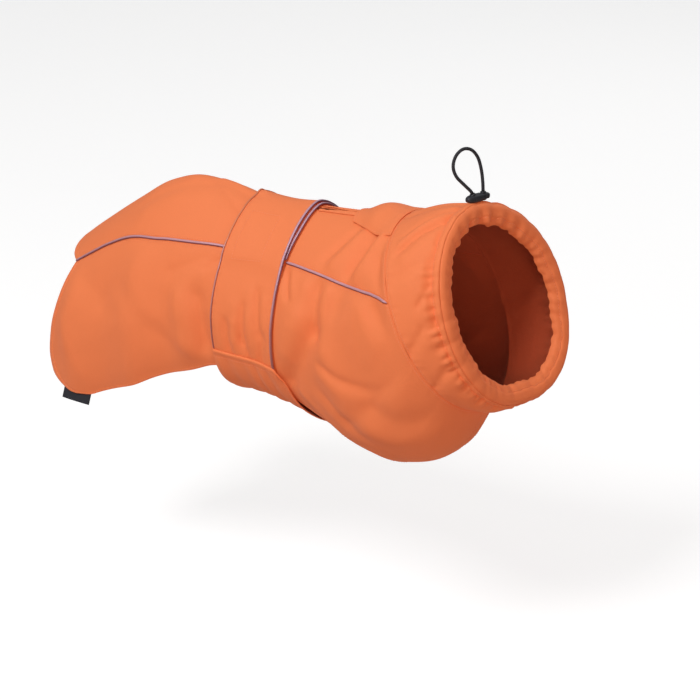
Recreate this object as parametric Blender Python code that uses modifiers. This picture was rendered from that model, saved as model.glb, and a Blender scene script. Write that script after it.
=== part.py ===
"""Short dog raincoat in softshell cloth, in the hollow shape it has when it is worn.

Metres, +X towards the head, +Z up, -Y the coat's right side. The origin lies on the wearer's spine, on the
inside of the back, at the middle of the belly belt.

Every panel is a patch of one former, the body: a row of rings from the rump to the neck seam. A place on it is
(station, share). The station is a ring's place on the spine, in millimetres. The share is the part of half the
girth from the spine, 0 on the spine and 1 under the belly, and is negative on the right side. A piece that lies
on a panel is made from the same places, moved out.
"""

import math

import bmesh
import bpy
import numpy as np
from mathutils import Vector

MM = 0.001

# Cloth and seams, millimetres
WALL = 1.8
GAP = 0.3
LAYER = WALL + 0.6
PIPING_WIDTH = 3.0
PIPING_WALL = 1.0
PIPING_CROWN = 0.7
PIPING_GAP = 0.6
LABEL_WALL = 1.2

# The body's rings. Columns: top_x, top_z, bottom_x, bottom_z, half_width, widest, upper_power, lower_power.
# widest is how far down the ring is widest, as a share of its height. The powers round its upper and lower
# halves: 2 is an ellipse, less is more pointed, more is squarer.
RINGS = (
    (-276, -90, -262, -268, 64, 0.58, 1.9, 2.8),
    (-250, -67, -248, -268, 73, 0.56, 1.85, 2.8),
    (-220, -46, -222, -266, 79, 0.56, 1.8, 2.8),
    (-177, -18, -180, -252, 83, 0.56, 1.7, 2.8),
    (-143, 2, -146, -236, 84, 0.56, 1.65, 2.8),
    (-105, 12, -108, -214, 82, 0.56, 1.6, 2.8),
    (-70, 9, -70, -194, 80, 0.56, 1.6, 2.7),
    (-36, 2, -36, -179, 77, 0.55, 1.6, 2.6),
    (0, 0, 2, -180, 77, 0.54, 1.6, 2.5),
    (36, 3, 42, -187, 78, 0.53, 1.6, 2.4),
    (70, 5, 84, -204, 83, 0.51, 1.65, 2.3),
    (100, 7, 134, -219, 87, 0.50, 1.7, 2.3),
    (120, 10, 174, -213, 88, 0.49, 1.8, 2.2),
    (130, 12, 204, -190, 87, 0.49, 1.9, 2.1),
    (137, 14, 221, -153, 86, 0.48, 2.0, 2.0),
)
RUMP = RINGS[0][0]
NECK = RINGS[-1][0]
RING_STEPS = 240
PANEL_ROWS = 32
SIDE_COLUMNS = 14
BACK_COLUMNS = 7

# Where the side seam (under the piping) and the lower hem run. Columns: station, side_seam share, hem share
SEAMS = (
    (-276, 0.205, 0.68),
    (-234, 0.205, 0.685),
    (-196, 0.197, 0.69),
    (-179, 0.200, 0.695),
    (-142, 0.224, 0.694),
    (-112, 0.248, 0.703),
    (-73, 0.254, 0.709),
    (-36, 0.248, 0.704),
    (0, 0.248, 0.735),
    (36, 0.254, 0.775),
    (63, 0.261, 0.79),
    (89, 0.272, 0.80),
    (100, 0.276, 0.815),
    (108, 0.280, 0.88),
    (113, 0.284, 0.96),
    (117, 0.288, 1.0),
    (126, 0.315, 1.0),
    (137, 0.385, 1.0),
)

# Rear edges. The back panel is cut up round the tail: share of the way from the spine to the side seam, station.
BACK_EDGE = ((0.0, -268), (0.35, -264), (0.7, -250), (1.0, -234))
# The side panel's rear edge: share of the way from the side seam to the hem, station.
SIDE_EDGE = ((0.0, -234), (0.13, -243), (0.28, -251), (0.46, -260), (0.64, -264), (0.8, -258), (0.9, -243),
             (0.96, -222), (1.0, -196))

# Largest folds. Columns: from_station, from_share, to_station, to_share, half_breadth in mm, height in mm (below 0,
# a trough)
FOLDS = (
    # shoulder, right side, rising from the side seam towards the flap
    (84, -0.33, 106, -0.13, 11, 2.6),
    (106, -0.36, 124, -0.15, 10, 2.4),
    (94, -0.34, 114, -0.14, 8, -1.8),
    # in front of the belt and over the chest, right side
    (47, -0.34, 49, -0.54, 10, 2.4),
    (64, -0.38, 67, -0.60, 12, -2.0),
    (90, -0.52, 112, -0.80, 12, 2.6),
    (110, -0.50, 124, -0.78, 10, -2.0),
    (124, -0.62, 130, -0.92, 9, 1.8),
    # rear side panel, right side: soft falls, and a dent behind the belt
    (-224, -0.34, -220, -0.74, 16, 3.0),
    (-176, -0.38, -174, -0.74, 18, -2.6),
    (-132, -0.34, -134, -0.74, 17, 3.0),
    (-92, -0.40, -92, -0.74, 14, -2.0),
    (-50, -0.46, -50, -0.62, 8, -2.4),
    # left side
    (80, 0.32, 104, 0.14, 11, 2.4),
    (104, 0.35, 122, 0.16, 10, -2.0),
    (49, 0.36, 51, 0.54, 11, 2.6),
    (92, 0.50, 110, 0.80, 12, 2.4),
    (122, 0.60, 130, 0.90, 10, -2.0),
    (-218, 0.36, -216, 0.74, 16, -2.6),
    (-168, 0.36, -170, 0.74, 18, 3.0),
    (-118, 0.38, -116, 0.74, 16, -2.4),
    (-64, 0.44, -62, 0.66, 10, 2.0),
)

# Belly belt: stations of its two edges, share where each wing leaves the belly panel, share where each ends
BELT_REAR = -36.0
BELT_FRONT = 34.0
WING_START = 0.630
UNDER_WING_REAR = -32.0
UNDER_WING_FRONT = 39.5
OVER_WING_END = 0.30
UNDER_WING_END = -0.25
LAP_RAMP = 0.08
WING_ROWS = 6
WING_COLUMN = 0.031

# Piping on the wings: name, on the upper wing, station of its rear line, share where it starts and ends
WING_PIPING = (
    ("wing_piping_right_rear", True, -36.0, -0.630, 0.30),
    ("wing_piping_right_front", True, 31.0, -0.630, 0.30),
    ("wing_piping_left_front", False, 36.5, -0.25, 0.630),
    ("wing_piping_left_rear", False, -32.0, 0.315, 0.630),
)

# Piping on the side seams: stations of its ends behind and in front of the belt
REAR_PIPING = (-233.0, -37.0)
FRONT_PIPING = (40.5, 136.0)
PIPING_STEP = 9.0

# Belly panel. Columns: station, share of its edge, layers it lies out from the body
BELLY = (
    (-36, 0.632, 1.56),
    (33, 0.632, 1.45),
    (42, 0.690, 1.65),
    (54, 0.860, 1.9),
    (64, 0.925, 0.8),
    (84, 0.930, -1.0),
    (100, 0.930, -1.9),
    (116, 0.905, -1.9),
    (121, 0.905, -1.9),
)
BELLY_UNDER_BELT = (-36.0, 30.0, 7)
BELLY_STRIP = (37.0, 118.0, 12)
BELLY_COLUMNS = 18

# Harness slit along the spine, its two welts, and the flap over its front end
SLIT_FROM = 28.0
SLIT_TO = 98.0
SLIT_HALF = 1.6
WELT_REAR = 40.5
WELT_FRONT = 80.5
WELT_BREADTH = 4.6
WELT_WALL = 1.4
FLAP_REAR = 82.0
FLAP_HALF_REAR = 0.078
FLAP_HALF_FRONT = 0.140
FLAP_CORNER = 3.5
FLAP_RISE = 7.5
FLAP_EASE = 0.6

# Collar: the rim's ring, as its middle, half breadth to each side and half height, millimetres
RIM_MIDDLE = (226.0, 6.0, -58.0)
RIM_RIGHT = (-14.0, -75.0, 9.0)
RIM_LEFT = (20.0, 90.0, -12.0)
RIM_DOWN = (21.0, 0.0, -90.0)
RIM_LEFT_POWER = 2.5
COLLAR_BULGE = 2.5
THROAT_BULGE = 1.5
THROAT_EASE = 1.6
SEAM_EASE = 0.5
COLLAR_COLUMNS = 100
COLLAR_ROWS = 6
GATHERS = 25
GATHER_DEPTH = 1.0
FACING_WALL = 1.4
# Lip from the rim inwards: breadth in from the rim, how far forward of it
LIP_PROFILE = ((0.9, -0.6), (6.0, 0.8), (12.0, 0.6), (17.0, -1.4), (18.5, -6.0))
LIP_RUFFLE = 1.2

# Rear label, a folded tab that hangs from the hem at the rear corner: gap below the hem, and its drop
LABEL_HANG = 1.4
LABEL_DROP = (-2.5, -2.0, -12.5)

# Cord lock and the loop of elastic cord through it, millimetres
LOCK_MIDDLE = (200.5, 6.0, 37.7)
LOCK_TURN = 77.0
LOCK_SIZE = (28.0, 9.0, 7.5)
LOCK_ROUNDING = 3.2
CORD_DIAMETER = 3.0
LOOP_ROUTE = (
    (198.9, -0.8, 42.4),
    (198.0, -2.0, 45.0),
    (194.0, -6.5, 51.0),
    (188.6, -11.6, 59.0),
    (186.4, -13.6, 68.0),
    (187.4, -11.0, 77.0),
    (190.6, -4.4, 82.2),
    (194.4, 3.4, 80.6),
    (197.6, 9.6, 73.0),
    (199.8, 12.4, 62.0),
    (201.4, 12.9, 51.0),
    (202.1, 12.8, 42.4),
)
LOOP_POINTS = 24

# Colours and finish
ORANGE = (0.90, 0.27, 0.085)
PIPING_GREY = (0.42, 0.33, 0.44)
NEAR_BLACK = (0.035, 0.035, 0.045)


def smooth(table, at):
    """Rows of a table read between its stations (first column) by a monotone cubic, which never overshoots."""
    table = np.asarray(table, float)
    xs, ys = table[:, 0], table[:, 1:]
    at = np.clip(np.asarray(at, float), xs[0], xs[-1])
    step = np.diff(xs)[:, None]
    slope = np.diff(ys, axis=0) / step
    tangent = np.zeros_like(ys)
    tangent[0], tangent[-1] = slope[0], slope[-1]
    before, after = step[:-1] + 2 * step[1:], 2 * step[:-1] + step[1:]
    same_way = slope[:-1] * slope[1:] > 0
    safe_low, safe_high = np.where(same_way, slope[:-1], 1), np.where(same_way, slope[1:], 1)
    tangent[1:-1] = np.where(same_way, (before + after) / (before / safe_low + after / safe_high), 0)
    cell = np.clip(np.searchsorted(xs, at, side="right") - 1, 0, len(xs) - 2)
    t = ((at - xs[cell]) / np.diff(xs)[cell])[..., None]
    width = np.diff(xs)[cell][..., None]
    return (
        (1 + 2 * t) * (1 - t) ** 2 * ys[cell]
        + t * (1 - t) ** 2 * width * tangent[cell]
        + t * t * (3 - 2 * t) * ys[cell + 1]
        + t * t * (t - 1) * width * tangent[cell + 1]
    )


def ease(t):
    """Soft step from 0 to 1."""
    t = np.clip(t, 0, 1)
    return t * t * (3 - 2 * t)


def bare_body(station, share):
    """The body without folds, in mm: each ring's half is spaced evenly along its own length."""
    station, share = np.broadcast_arrays(np.asarray(station, float), np.asarray(share, float))
    shape = station.shape
    station, share = station.ravel(), share.ravel()
    top_z, bottom_x, bottom_z, half_width, widest, upper, lower = smooth(RINGS, station).T[:, :, None]
    angle = np.linspace(0, math.pi, RING_STEPS + 1)[None]
    high = np.cos(angle) >= 0
    power = np.where(high, upper, lower)
    out = np.abs(np.sin(angle)) ** (2 / power) * half_width
    level = np.abs(np.cos(angle)) ** (2 / power)
    down = np.where(high, widest * (1 - level), widest + (1 - widest) * level)
    x = station[:, None] + (bottom_x - station[:, None]) * down
    z = top_z + (bottom_z - top_z) * down
    steps = np.sqrt(np.diff(x) ** 2 + np.diff(out) ** 2 + np.diff(z) ** 2)
    length = np.concatenate([np.zeros((len(station), 1)), np.cumsum(steps, axis=1)], axis=1)
    target = np.abs(share) * length[:, -1]
    low = np.clip((length < target[:, None]).sum(axis=1) - 1, 0, RING_STEPS - 1)
    row = np.arange(len(station))
    part = (target - length[row, low]) / np.maximum(length[row, low + 1] - length[row, low], 1e-9)

    def read(values):
        return values[row, low] * (1 - part) + values[row, low + 1] * part

    return np.stack([read(x), np.sign(share) * read(out), read(z)], axis=-1).reshape(shape + (3,))


def half_girth(station):
    """Length of half a ring, from the spine to the belly, in mm."""
    shares = np.linspace(0, 1, 60)
    points = bare_body(np.full(60, float(station)), shares)
    return np.linalg.norm(np.diff(points, axis=0), axis=1).sum()


def outward(station, share):
    """Unit directions straight out of the body."""
    station, share = np.broadcast_arrays(np.asarray(station, float), np.asarray(share, float))
    near, far = np.clip(station - 1, RUMP, NECK), np.clip(station + 1, RUMP, NECK)
    along = bare_body(far, share) - bare_body(near, share)
    share_step = 0.004
    round_it = bare_body(station, np.minimum(share + share_step, 1)) - bare_body(
        station, np.maximum(share - share_step, -1))
    across = np.cross(along, round_it)
    return across / np.linalg.norm(across, axis=-1, keepdims=True)


def fold_height(station, share):
    """Sum of the soft folds, in mm. Each is highest on its own line and fades over its breadth and at its ends."""
    total = np.zeros(np.broadcast(station, share).shape)
    girth = half_girth(0)
    for from_station, from_share, to_station, to_share, breadth, height in FOLDS:
        ahead = (to_station - from_station, (to_share - from_share) * girth)
        length = math.hypot(*ahead)
        dx = station - from_station
        dy = (share - from_share) * girth
        t = (dx * ahead[0] + dy * ahead[1]) / length**2
        aside = np.abs(dx * ahead[1] - dy * ahead[0]) / length
        beyond = np.maximum(np.abs(t - 0.5) - 0.5, 0) * length
        total = total + height * np.exp(-((aside / breadth) ** 2) - (beyond / (1.2 * breadth)) ** 2)
    return total * ease((NECK - station) / 12)


def body(station, share, lift=0.0):
    """A place on the folded cloth, in mm, moved out by lift."""
    rise = fold_height(station, share) + lift
    return bare_body(station, share) + outward(station, share) * rise[..., None]


def side_seam(station):
    return smooth(SEAMS, station)[..., 0]


def hem(station):
    return smooth(SEAMS, station)[..., 1]


def short_of_neck(share):
    """The last station of a panel, a seam's gap short of the neck seam. Rings stand further apart at the throat."""
    step = 0.5
    travel = np.linalg.norm(bare_body(NECK, share) - bare_body(NECK - step, share), axis=-1) / step
    return NECK - GAP / travel


def material(name, colour, roughness):
    made = bpy.data.materials.new(name)
    made.use_nodes = True
    surface = made.node_tree.nodes["Principled BSDF"]
    surface.inputs["Base Color"].default_value = (*colour, 1)
    surface.inputs["Roughness"].default_value = roughness
    surface.inputs["Metallic"].default_value = 0.0
    made.diffuse_color = (*colour, 1)
    return made


def add_object(name, mesh, finish):
    """Name the object, give it its own material and put it in the coat's collection."""
    thing = bpy.data.objects.new(name, mesh)
    mesh.materials.append(material(name, *finish))
    bpy.data.collections[COLLECTION].objects.link(thing)
    return thing


def sheet(name, points, finish, wall=WALL, closed=False, left_out=()):
    """A cloth wall: an open surface through rows of points (mm), thickened outwards.

    Rows run towards the head and columns from the right side over the back to the left, so faces look out.
    left_out lists cells (row, column) that stay open.
    """
    rows, columns = points.shape[:2]
    flat = points.reshape(-1, 3) * MM
    cells = [(i, j) for i in range(rows - 1) for j in range(columns if closed else columns - 1)]
    faces = []
    for i, j in cells:
        if (i, j) in left_out:
            continue
        right = (j + 1) % columns
        faces.append((i * columns + j, (i + 1) * columns + j, (i + 1) * columns + right, i * columns + right))
    mesh = bpy.data.meshes.new(name)
    mesh.from_pydata(flat.tolist(), [], faces)
    mesh.shade_smooth()
    mesh.set_sharp_from_angle(angle=math.radians(50))
    thing = add_object(name, mesh, finish)
    thick = thing.modifiers.new("Wall", "SOLIDIFY")
    thick.thickness = wall * MM
    thick.offset = 1
    thick.use_even_offset = True
    return thing


ORANGE_CLOTH = (ORANGE, 0.75)
REFLECTIVE = (PIPING_GREY, 0.45)
BLACK_CORD = (NEAR_BLACK, 0.6)
BLACK_PLASTIC = (NEAR_BLACK, 0.4)
COLLECTION = "dog_raincoat"


def row_places():
    """Places of the panels' rows from the rear edge (0) to the neck (1), as even as can be on spine and chest."""
    station = np.linspace(RUMP, NECK, 120)
    travel = [np.linalg.norm(np.diff(bare_body(station, share), axis=0), axis=1) for share in (0.0, 0.8)]
    length = np.concatenate([[0], np.cumsum(travel[0] + travel[1])])
    return np.interp(np.linspace(0, length[-1], PANEL_ROWS + 1), length, np.linspace(0, 1, 120))


def make_back_panel():
    """The saddle between the side seams, with the harness slit cut along the spine."""
    slit = SLIT_HALF / half_girth(0) / side_seam(0)
    half = np.concatenate([[slit], np.linspace(0, 1, BACK_COLUMNS + 1)[1:]])
    across = np.concatenate([-half[::-1], half])
    rear = smooth(BACK_EDGE, np.abs(across))[:, 0]
    t = row_places()[:, None]
    station = rear + (NECK - rear) * t
    share = across * (side_seam(station) - GAP / 2 / half_girth(0))
    station[-1] = short_of_neck(share[-1])
    middle = len(half) - 1
    spine = station[:, middle]
    slit_cells = [(i, middle) for i in range(PANEL_ROWS) if SLIT_FROM <= spine[i] and spine[i + 1] <= SLIT_TO]
    sheet("back_panel", body(station, share), ORANGE_CLOTH, left_out=slit_cells)


def side_panel_grid(side, down):
    """Places of a side panel: rows from its rear edge to the neck, columns from the side seam to the hem."""
    rear = smooth(SIDE_EDGE, down)[:, 0]
    t = row_places()[:, None]
    station = rear + (NECK - rear) * t
    margin = GAP / 2 / half_girth(0)
    top = side_seam(station) + margin
    bottom = np.minimum(hem(station), 1 - margin)
    share = side * (top + (bottom - top) * down)
    station[-1] = short_of_neck(share[-1])
    return station, share


def make_side_panel(name, side):
    """One side, from its seam with the back to the hem. It passes under the belt and round to the throat."""
    points = body(*side_panel_grid(side, np.linspace(0, 1, SIDE_COLUMNS + 1)))
    sheet(name, points[:, ::side], ORANGE_CLOTH)


def make_belly_panel():
    """The panel under the body: between the belt wings, then a strip that runs forward between the legs."""
    rows = np.concatenate([np.linspace(*BELLY_UNDER_BELT), np.linspace(*BELLY_STRIP)])[:, None]
    edge, layers = smooth(BELLY, rows[:, 0]).T[:, :, None]
    across = np.linspace(1, -1, BELLY_COLUMNS + 1)
    side = np.where(across >= 0, 1, -1)
    share = side * (1 - np.abs(across) * (1 - edge))
    sheet("belly_panel", body(rows + 0 * across, share, layers * LAYER + 0 * across), ORANGE_CLOTH)


def wing_lift(share, over):
    """How far a wing lies out from the body: one layer, or two where the upper wing crosses the lower one."""
    if not over:
        return LAYER + 0 * share
    return LAYER * (1 + ease((share - UNDER_WING_END + LAP_RAMP) / LAP_RAMP))


def wing_shares(over):
    """Shares down the length of a wing, from the right side over the back to the left."""
    start, end = (-WING_START, OVER_WING_END) if over else (UNDER_WING_END, WING_START)
    right = max(2, round(-start / WING_COLUMN))
    left = max(2, round(end / WING_COLUMN))
    return np.concatenate([np.linspace(start, 0, right + 1), np.linspace(0, end, left + 1)[1:]])


def make_wing(name, over, rear, front):
    """A wing of the belly belt, wrapped up over the back."""
    share = wing_shares(over)[None]
    station = np.linspace(rear, front, WING_ROWS + 1)[:, None]
    points = body(station + 0 * share, share + 0 * station, wing_lift(share, over) + 0 * station)
    sheet(name, points, ORANGE_CLOTH)


def piping_strip(name, station, share, lift):
    """A low rounded strip: three lines of places side by side, the middle one raised to a crown."""
    crown = np.array([0, PIPING_CROWN, 0])
    crown = crown[:, None] if len(station) == 3 else crown[None]
    points = body(station, share, lift + WALL + PIPING_GAP + crown)
    sheet(name, points, REFLECTIVE, wall=PIPING_WALL)


def make_wing_piping(name, over, edge, from_share, to_share):
    """Piping along one edge of a wing. edge is the station of its rear line."""
    share = wing_shares(over)
    share = share[(share > from_share) & (share < to_share)]
    share = np.concatenate([[from_share], share, [to_share]])[None]
    station = edge + np.array([[0], [PIPING_WIDTH / 2], [PIPING_WIDTH]])
    piping_strip(name, station + 0 * share, share + 0 * station, wing_lift(share, over))


def make_seam_piping(name, side, rear, front):
    """Piping over a side seam, from one station to another."""
    station = np.linspace(rear, front, max(2, round((front - rear) / PIPING_STEP)) + 1)[:, None]
    half = PIPING_WIDTH / 2 / half_girth(0)
    share = side * side_seam(station) + np.array([[-half, 0, half]])
    piping_strip(name, station + 0 * share, share, 0.0)


def make_slit_welt(name, side):
    """A narrow welt along one lip of the harness slit."""
    station = np.linspace(WELT_REAR, WELT_FRONT, 5)[:, None]
    girth = half_girth(0)
    share = side * np.array([[SLIT_HALF, SLIT_HALF + WELT_BREADTH]]) / girth
    points = body(station + 0 * share, share + 0 * station, WALL + GAP)
    sheet(name, points[:, ::side], ORANGE_CLOTH, wall=WELT_WALL)


def make_lead_flap():
    """The flap over the front end of the slit: flat at its edges, domed in the middle, caught in the neck seam."""
    across = np.linspace(-1, 1, 9)
    rear = FLAP_REAR + FLAP_CORNER * np.abs(across) ** 4
    t = np.linspace(0, 1, 7)[:, None]
    station = rear + (NECK - rear) * t
    half = FLAP_HALF_REAR + (FLAP_HALF_FRONT - FLAP_HALF_REAR) * t
    share = across * half
    station[-1] = short_of_neck(share[-1])
    dome = FLAP_RISE * (1 - across**2) * np.sin(math.pi * np.clip(0.95 * t, 0, 1)) ** 2
    sheet("lead_flap", body(station, share, LAYER + FLAP_EASE * t + dome), ORANGE_CLOTH)


def rim_ring(share):
    """The collar's rim, without gathers: each half of a tilted, slightly turned oval, spaced along its length."""
    angle = np.linspace(0, math.pi, RING_STEPS + 1)
    middle, down = np.array(RIM_MIDDLE), np.array(RIM_DOWN)
    halves = []
    for sideways, lower_power in ((RIM_RIGHT, 2.0), (RIM_LEFT, RIM_LEFT_POWER)):
        power = np.where(np.cos(angle) >= 0, 2.0, lower_power)
        out = np.abs(np.sin(angle)) ** (2 / power)
        level = -np.sign(np.cos(angle)) * np.abs(np.cos(angle)) ** (2 / power)
        points = middle + out[:, None] * np.array(sideways) + level[:, None] * down
        length = np.concatenate([[0], np.cumsum(np.linalg.norm(np.diff(points, axis=0), axis=1))])
        at = np.abs(share) * length[-1]
        halves.append(np.stack([np.interp(at, length, points[:, k]) for k in range(3)], axis=-1))
    return np.where((share < 0)[..., None], halves[0], halves[1])


def gather_wave(share):
    """The rim's gathers, from -1 to 1 and uneven round it."""
    turn = math.pi * share
    return np.sin(GATHERS * turn) * (0.75 + 0.25 * np.sin(3 * turn + 1.0))


def unit(vectors):
    return vectors / np.linalg.norm(vectors, axis=-1, keepdims=True)


def collar_frame(share):
    """The neck seam, the rim, and the unit way out from the band between them."""
    seam = bare_body(np.full(share.shape, float(NECK)), share)
    rim = rim_ring(share)
    round_it = np.roll(rim + seam, -1, axis=0) - np.roll(rim + seam, 1, axis=0)
    return seam, rim, unit(np.cross(rim - seam, round_it))


def collar_shares():
    """Shares round the collar, all the way from the throat over the right side and back to it."""
    return -1 + (np.arange(COLLAR_COLUMNS) + 0.5) * 2 / COLLAR_COLUMNS


def gathered_rim(share):
    """The rim with its gathers, which both the collar and its facing follow."""
    seam, rim, out = collar_frame(share)
    return rim + out * (GATHER_DEPTH * gather_wave(share))[:, None]


def make_collar():
    """The collar band, bulging a little between the neck seam and the gathered rim."""
    share = collar_shares()
    seam, rim, out = collar_frame(share)
    ahead = unit(rim - seam)
    panel_out = outward(np.full(share.shape, float(NECK)), share)
    concave = np.clip((panel_out * ahead).sum(axis=-1), 0, 1)[:, None]
    throat = ease((np.abs(share) - 0.55) / 0.35)[:, None]
    bulge = COLLAR_BULGE + THROAT_BULGE * throat
    start = seam + ahead * (SEAM_EASE + THROAT_EASE * WALL * concave)
    t = np.linspace(0, 1, COLLAR_ROWS + 1)[:, None, None]
    gather = GATHER_DEPTH * gather_wave(share)[:, None] * ease((t - 0.35) / 0.65)
    points = start + (rim - start) * t + out * (bulge * np.sin(math.pi * t) ** 2 + gather)
    sheet("collar", points, ORANGE_CLOTH, closed=True)


def make_collar_facing():
    """The lip turned in at the neck opening, with the drawcord's casing: from the rim inwards, then back."""
    share = collar_shares()
    rim = gathered_rim(share)
    seam, plain, out = collar_frame(share)
    forward = unit(np.cross(np.array(RIM_LEFT), -np.array(RIM_DOWN)))
    inward = unit(np.array(RIM_MIDDLE) - plain)
    ruffle = np.linspace(0, 1, len(LIP_PROFILE))[:, None] * LIP_RUFFLE * gather_wave(share)
    rows = [
        rim + inward * breadth + forward * (ahead + ruffle[k])[:, None]
        for k, (breadth, ahead) in enumerate(LIP_PROFILE)
    ]
    sheet("collar_facing", np.array(rows), ORANGE_CLOTH, wall=FACING_WALL, closed=True)


def make_rear_label():
    """The small dark tab along the last straight stretch of the right side's rear hem."""
    stretch = np.array([1 - 1 / SIDE_COLUMNS, 1.0])
    station, share = side_panel_grid(-1, stretch)
    start, end = body(station[0], share[0], (WALL - LABEL_WALL) / 2)
    drop = np.array(LABEL_DROP)
    lower_edge = unit(drop) * LABEL_HANG
    rows = [[place + drop, place + lower_edge] for place in (start, end)]
    sheet("rear_label", np.array(rows), (NEAR_BLACK, 0.55), wall=LABEL_WALL)


def make_cord_lock():
    """The rounded cord lock that lies along the rim at the nape."""
    mesh = bpy.data.meshes.new("cord_lock")
    form = bmesh.new()
    bmesh.ops.create_cube(form, size=MM)
    bmesh.ops.scale(form, vec=Vector(LOCK_SIZE), verts=form.verts)
    form.to_mesh(mesh)
    form.free()
    lock = add_object("cord_lock", mesh, BLACK_PLASTIC)
    lock.location = Vector(LOCK_MIDDLE) * MM
    lock.rotation_euler = (0, 0, math.radians(LOCK_TURN))
    rounding = lock.modifiers.new("Rounding", "BEVEL")
    rounding.width = LOCK_ROUNDING * MM
    rounding.segments = 4
    rounding.limit_method = "NONE"


def smooth_line(route, count):
    """Evenly spaced points along a smooth curve through the route's own points."""
    route = np.array(route, float)
    padded = np.vstack([2 * route[0] - route[1], route, 2 * route[-1] - route[-2]])
    t = np.linspace(0, 1, 12, endpoint=False)[:, None]
    fine = []
    for a, b, c, d in zip(padded, padded[1:], padded[2:], padded[3:]):
        fine.append(0.5 * (2 * b + (c - a) * t + (2 * a - 5 * b + 4 * c - d) * t**2 + (3 * b - a - 3 * c + d) * t**3))
    fine = np.vstack(fine + [route[-1:]])
    length = np.concatenate([[0], np.cumsum(np.linalg.norm(np.diff(fine, axis=0), axis=1))])
    at = np.linspace(0, length[-1], count)
    return np.stack([np.interp(at, length, fine[:, k]) for k in range(3)], axis=-1)


def make_drawcord():
    """The loop of elastic cord that stands up out of the cord lock."""
    curve = bpy.data.curves.new("drawcord", "CURVE")
    curve.dimensions = "3D"
    curve.bevel_depth = CORD_DIAMETER / 2 * MM
    curve.bevel_resolution = 2
    curve.use_fill_caps = True
    spline = curve.splines.new("POLY")
    points = smooth_line(LOOP_ROUTE, LOOP_POINTS)
    spline.points.add(len(points) - 1)
    for place, point in zip(spline.points, points):
        place.co = (*(point * MM), 1)
    curve.materials.append(material("drawcord", *BLACK_CORD))
    bpy.data.collections[COLLECTION].objects.link(bpy.data.objects.new("drawcord", curve))


def make_coat():
    for old in list(bpy.data.objects):
        bpy.data.objects.remove(old, do_unlink=True)
    coat = bpy.data.collections.new(COLLECTION)
    bpy.context.scene.collection.children.link(coat)
    make_back_panel()
    for side, hand in ((-1, "right"), (1, "left")):
        make_side_panel(f"side_panel_{hand}", side)
        make_seam_piping(f"rear_piping_{hand}", side, REAR_PIPING[0], REAR_PIPING[1])
        make_seam_piping(f"front_piping_{hand}", side, FRONT_PIPING[0], FRONT_PIPING[1])
        make_slit_welt(f"slit_welt_{hand}", side)
    make_belly_panel()
    make_wing("belt_wing_right", True, BELT_REAR, BELT_FRONT)
    make_wing("belt_wing_left", False, UNDER_WING_REAR, UNDER_WING_FRONT)
    for name, over, edge, from_share, to_share in WING_PIPING:
        make_wing_piping(name, over, edge, from_share, to_share)
    make_lead_flap()
    make_collar()
    make_collar_facing()
    make_rear_label()
    make_cord_lock()
    make_drawcord()


make_coat()
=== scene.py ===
import math

import bmesh
import bpy
import numpy as np
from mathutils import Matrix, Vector


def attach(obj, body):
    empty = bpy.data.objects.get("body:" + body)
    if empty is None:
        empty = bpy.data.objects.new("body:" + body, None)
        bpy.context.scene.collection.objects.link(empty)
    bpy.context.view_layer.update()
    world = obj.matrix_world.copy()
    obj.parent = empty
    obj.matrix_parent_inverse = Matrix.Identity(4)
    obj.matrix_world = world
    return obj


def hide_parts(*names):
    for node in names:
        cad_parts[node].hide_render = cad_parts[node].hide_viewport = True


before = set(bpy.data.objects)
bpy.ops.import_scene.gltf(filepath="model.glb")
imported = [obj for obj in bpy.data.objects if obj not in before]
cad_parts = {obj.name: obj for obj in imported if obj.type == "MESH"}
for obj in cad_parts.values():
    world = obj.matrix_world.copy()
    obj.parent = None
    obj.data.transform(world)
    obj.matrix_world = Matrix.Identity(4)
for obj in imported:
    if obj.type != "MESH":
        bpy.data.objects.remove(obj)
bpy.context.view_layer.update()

bl_info = {
    "name": "Dog raincoat",
    "version": (1, 0, 0),
    "blender": (4, 5, 0),
    "location": "3D View > Sidebar > Dog raincoat",
    "description": "Short softshell dog raincoat in its worn shape: panels, belt, collar and piping",
    "category": "Object",
}

MM = 0.001
PER_METRE = 1000.0

# ---------------------------------------------------------------- the cut, in mm and shares

# Stations run along the back, from the rump to the neck. A share runs round from the spine (0) to the
# chest: down to -1 on the right side and up to 1 on the left.
# The body's rings. Columns: top_x, top_z, bottom_x, bottom_z, half_width, widest, upper_power, lower_power
RINGS = (
    (-276, -90, -262, -268, 64, 0.58, 1.9, 2.8),
    (-250, -67, -248, -268, 73, 0.56, 1.85, 2.8),
    (-220, -46, -222, -266, 79, 0.56, 1.8, 2.8),
    (-177, -18, -180, -252, 83, 0.56, 1.7, 2.8),
    (-143, 2, -146, -236, 84, 0.56, 1.65, 2.8),
    (-105, 12, -108, -214, 82, 0.56, 1.6, 2.8),
    (-70, 9, -70, -194, 80, 0.56, 1.6, 2.7),
    (-36, 2, -36, -179, 77, 0.55, 1.6, 2.6),
    (0, 0, 2, -180, 77, 0.54, 1.6, 2.5),
    (36, 3, 42, -187, 78, 0.53, 1.6, 2.4),
    (70, 5, 84, -204, 83, 0.51, 1.65, 2.3),
    (100, 7, 134, -219, 87, 0.50, 1.7, 2.3),
    (120, 10, 174, -213, 88, 0.49, 1.8, 2.2),
    (130, 12, 204, -190, 87, 0.49, 1.9, 2.1),
    (137, 14, 221, -153, 86, 0.48, 2.0, 2.0),
)
RUMP, NECK = RINGS[0][0], RINGS[-1][0]
# Half the girth, for turning shares into mm, and the former's columns in that half
GIRTH = 290.0
HALF_COLUMNS = 400
# How far the middle of a panel's wall lies out from the former
PANEL_LIFT = 0.9

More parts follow.
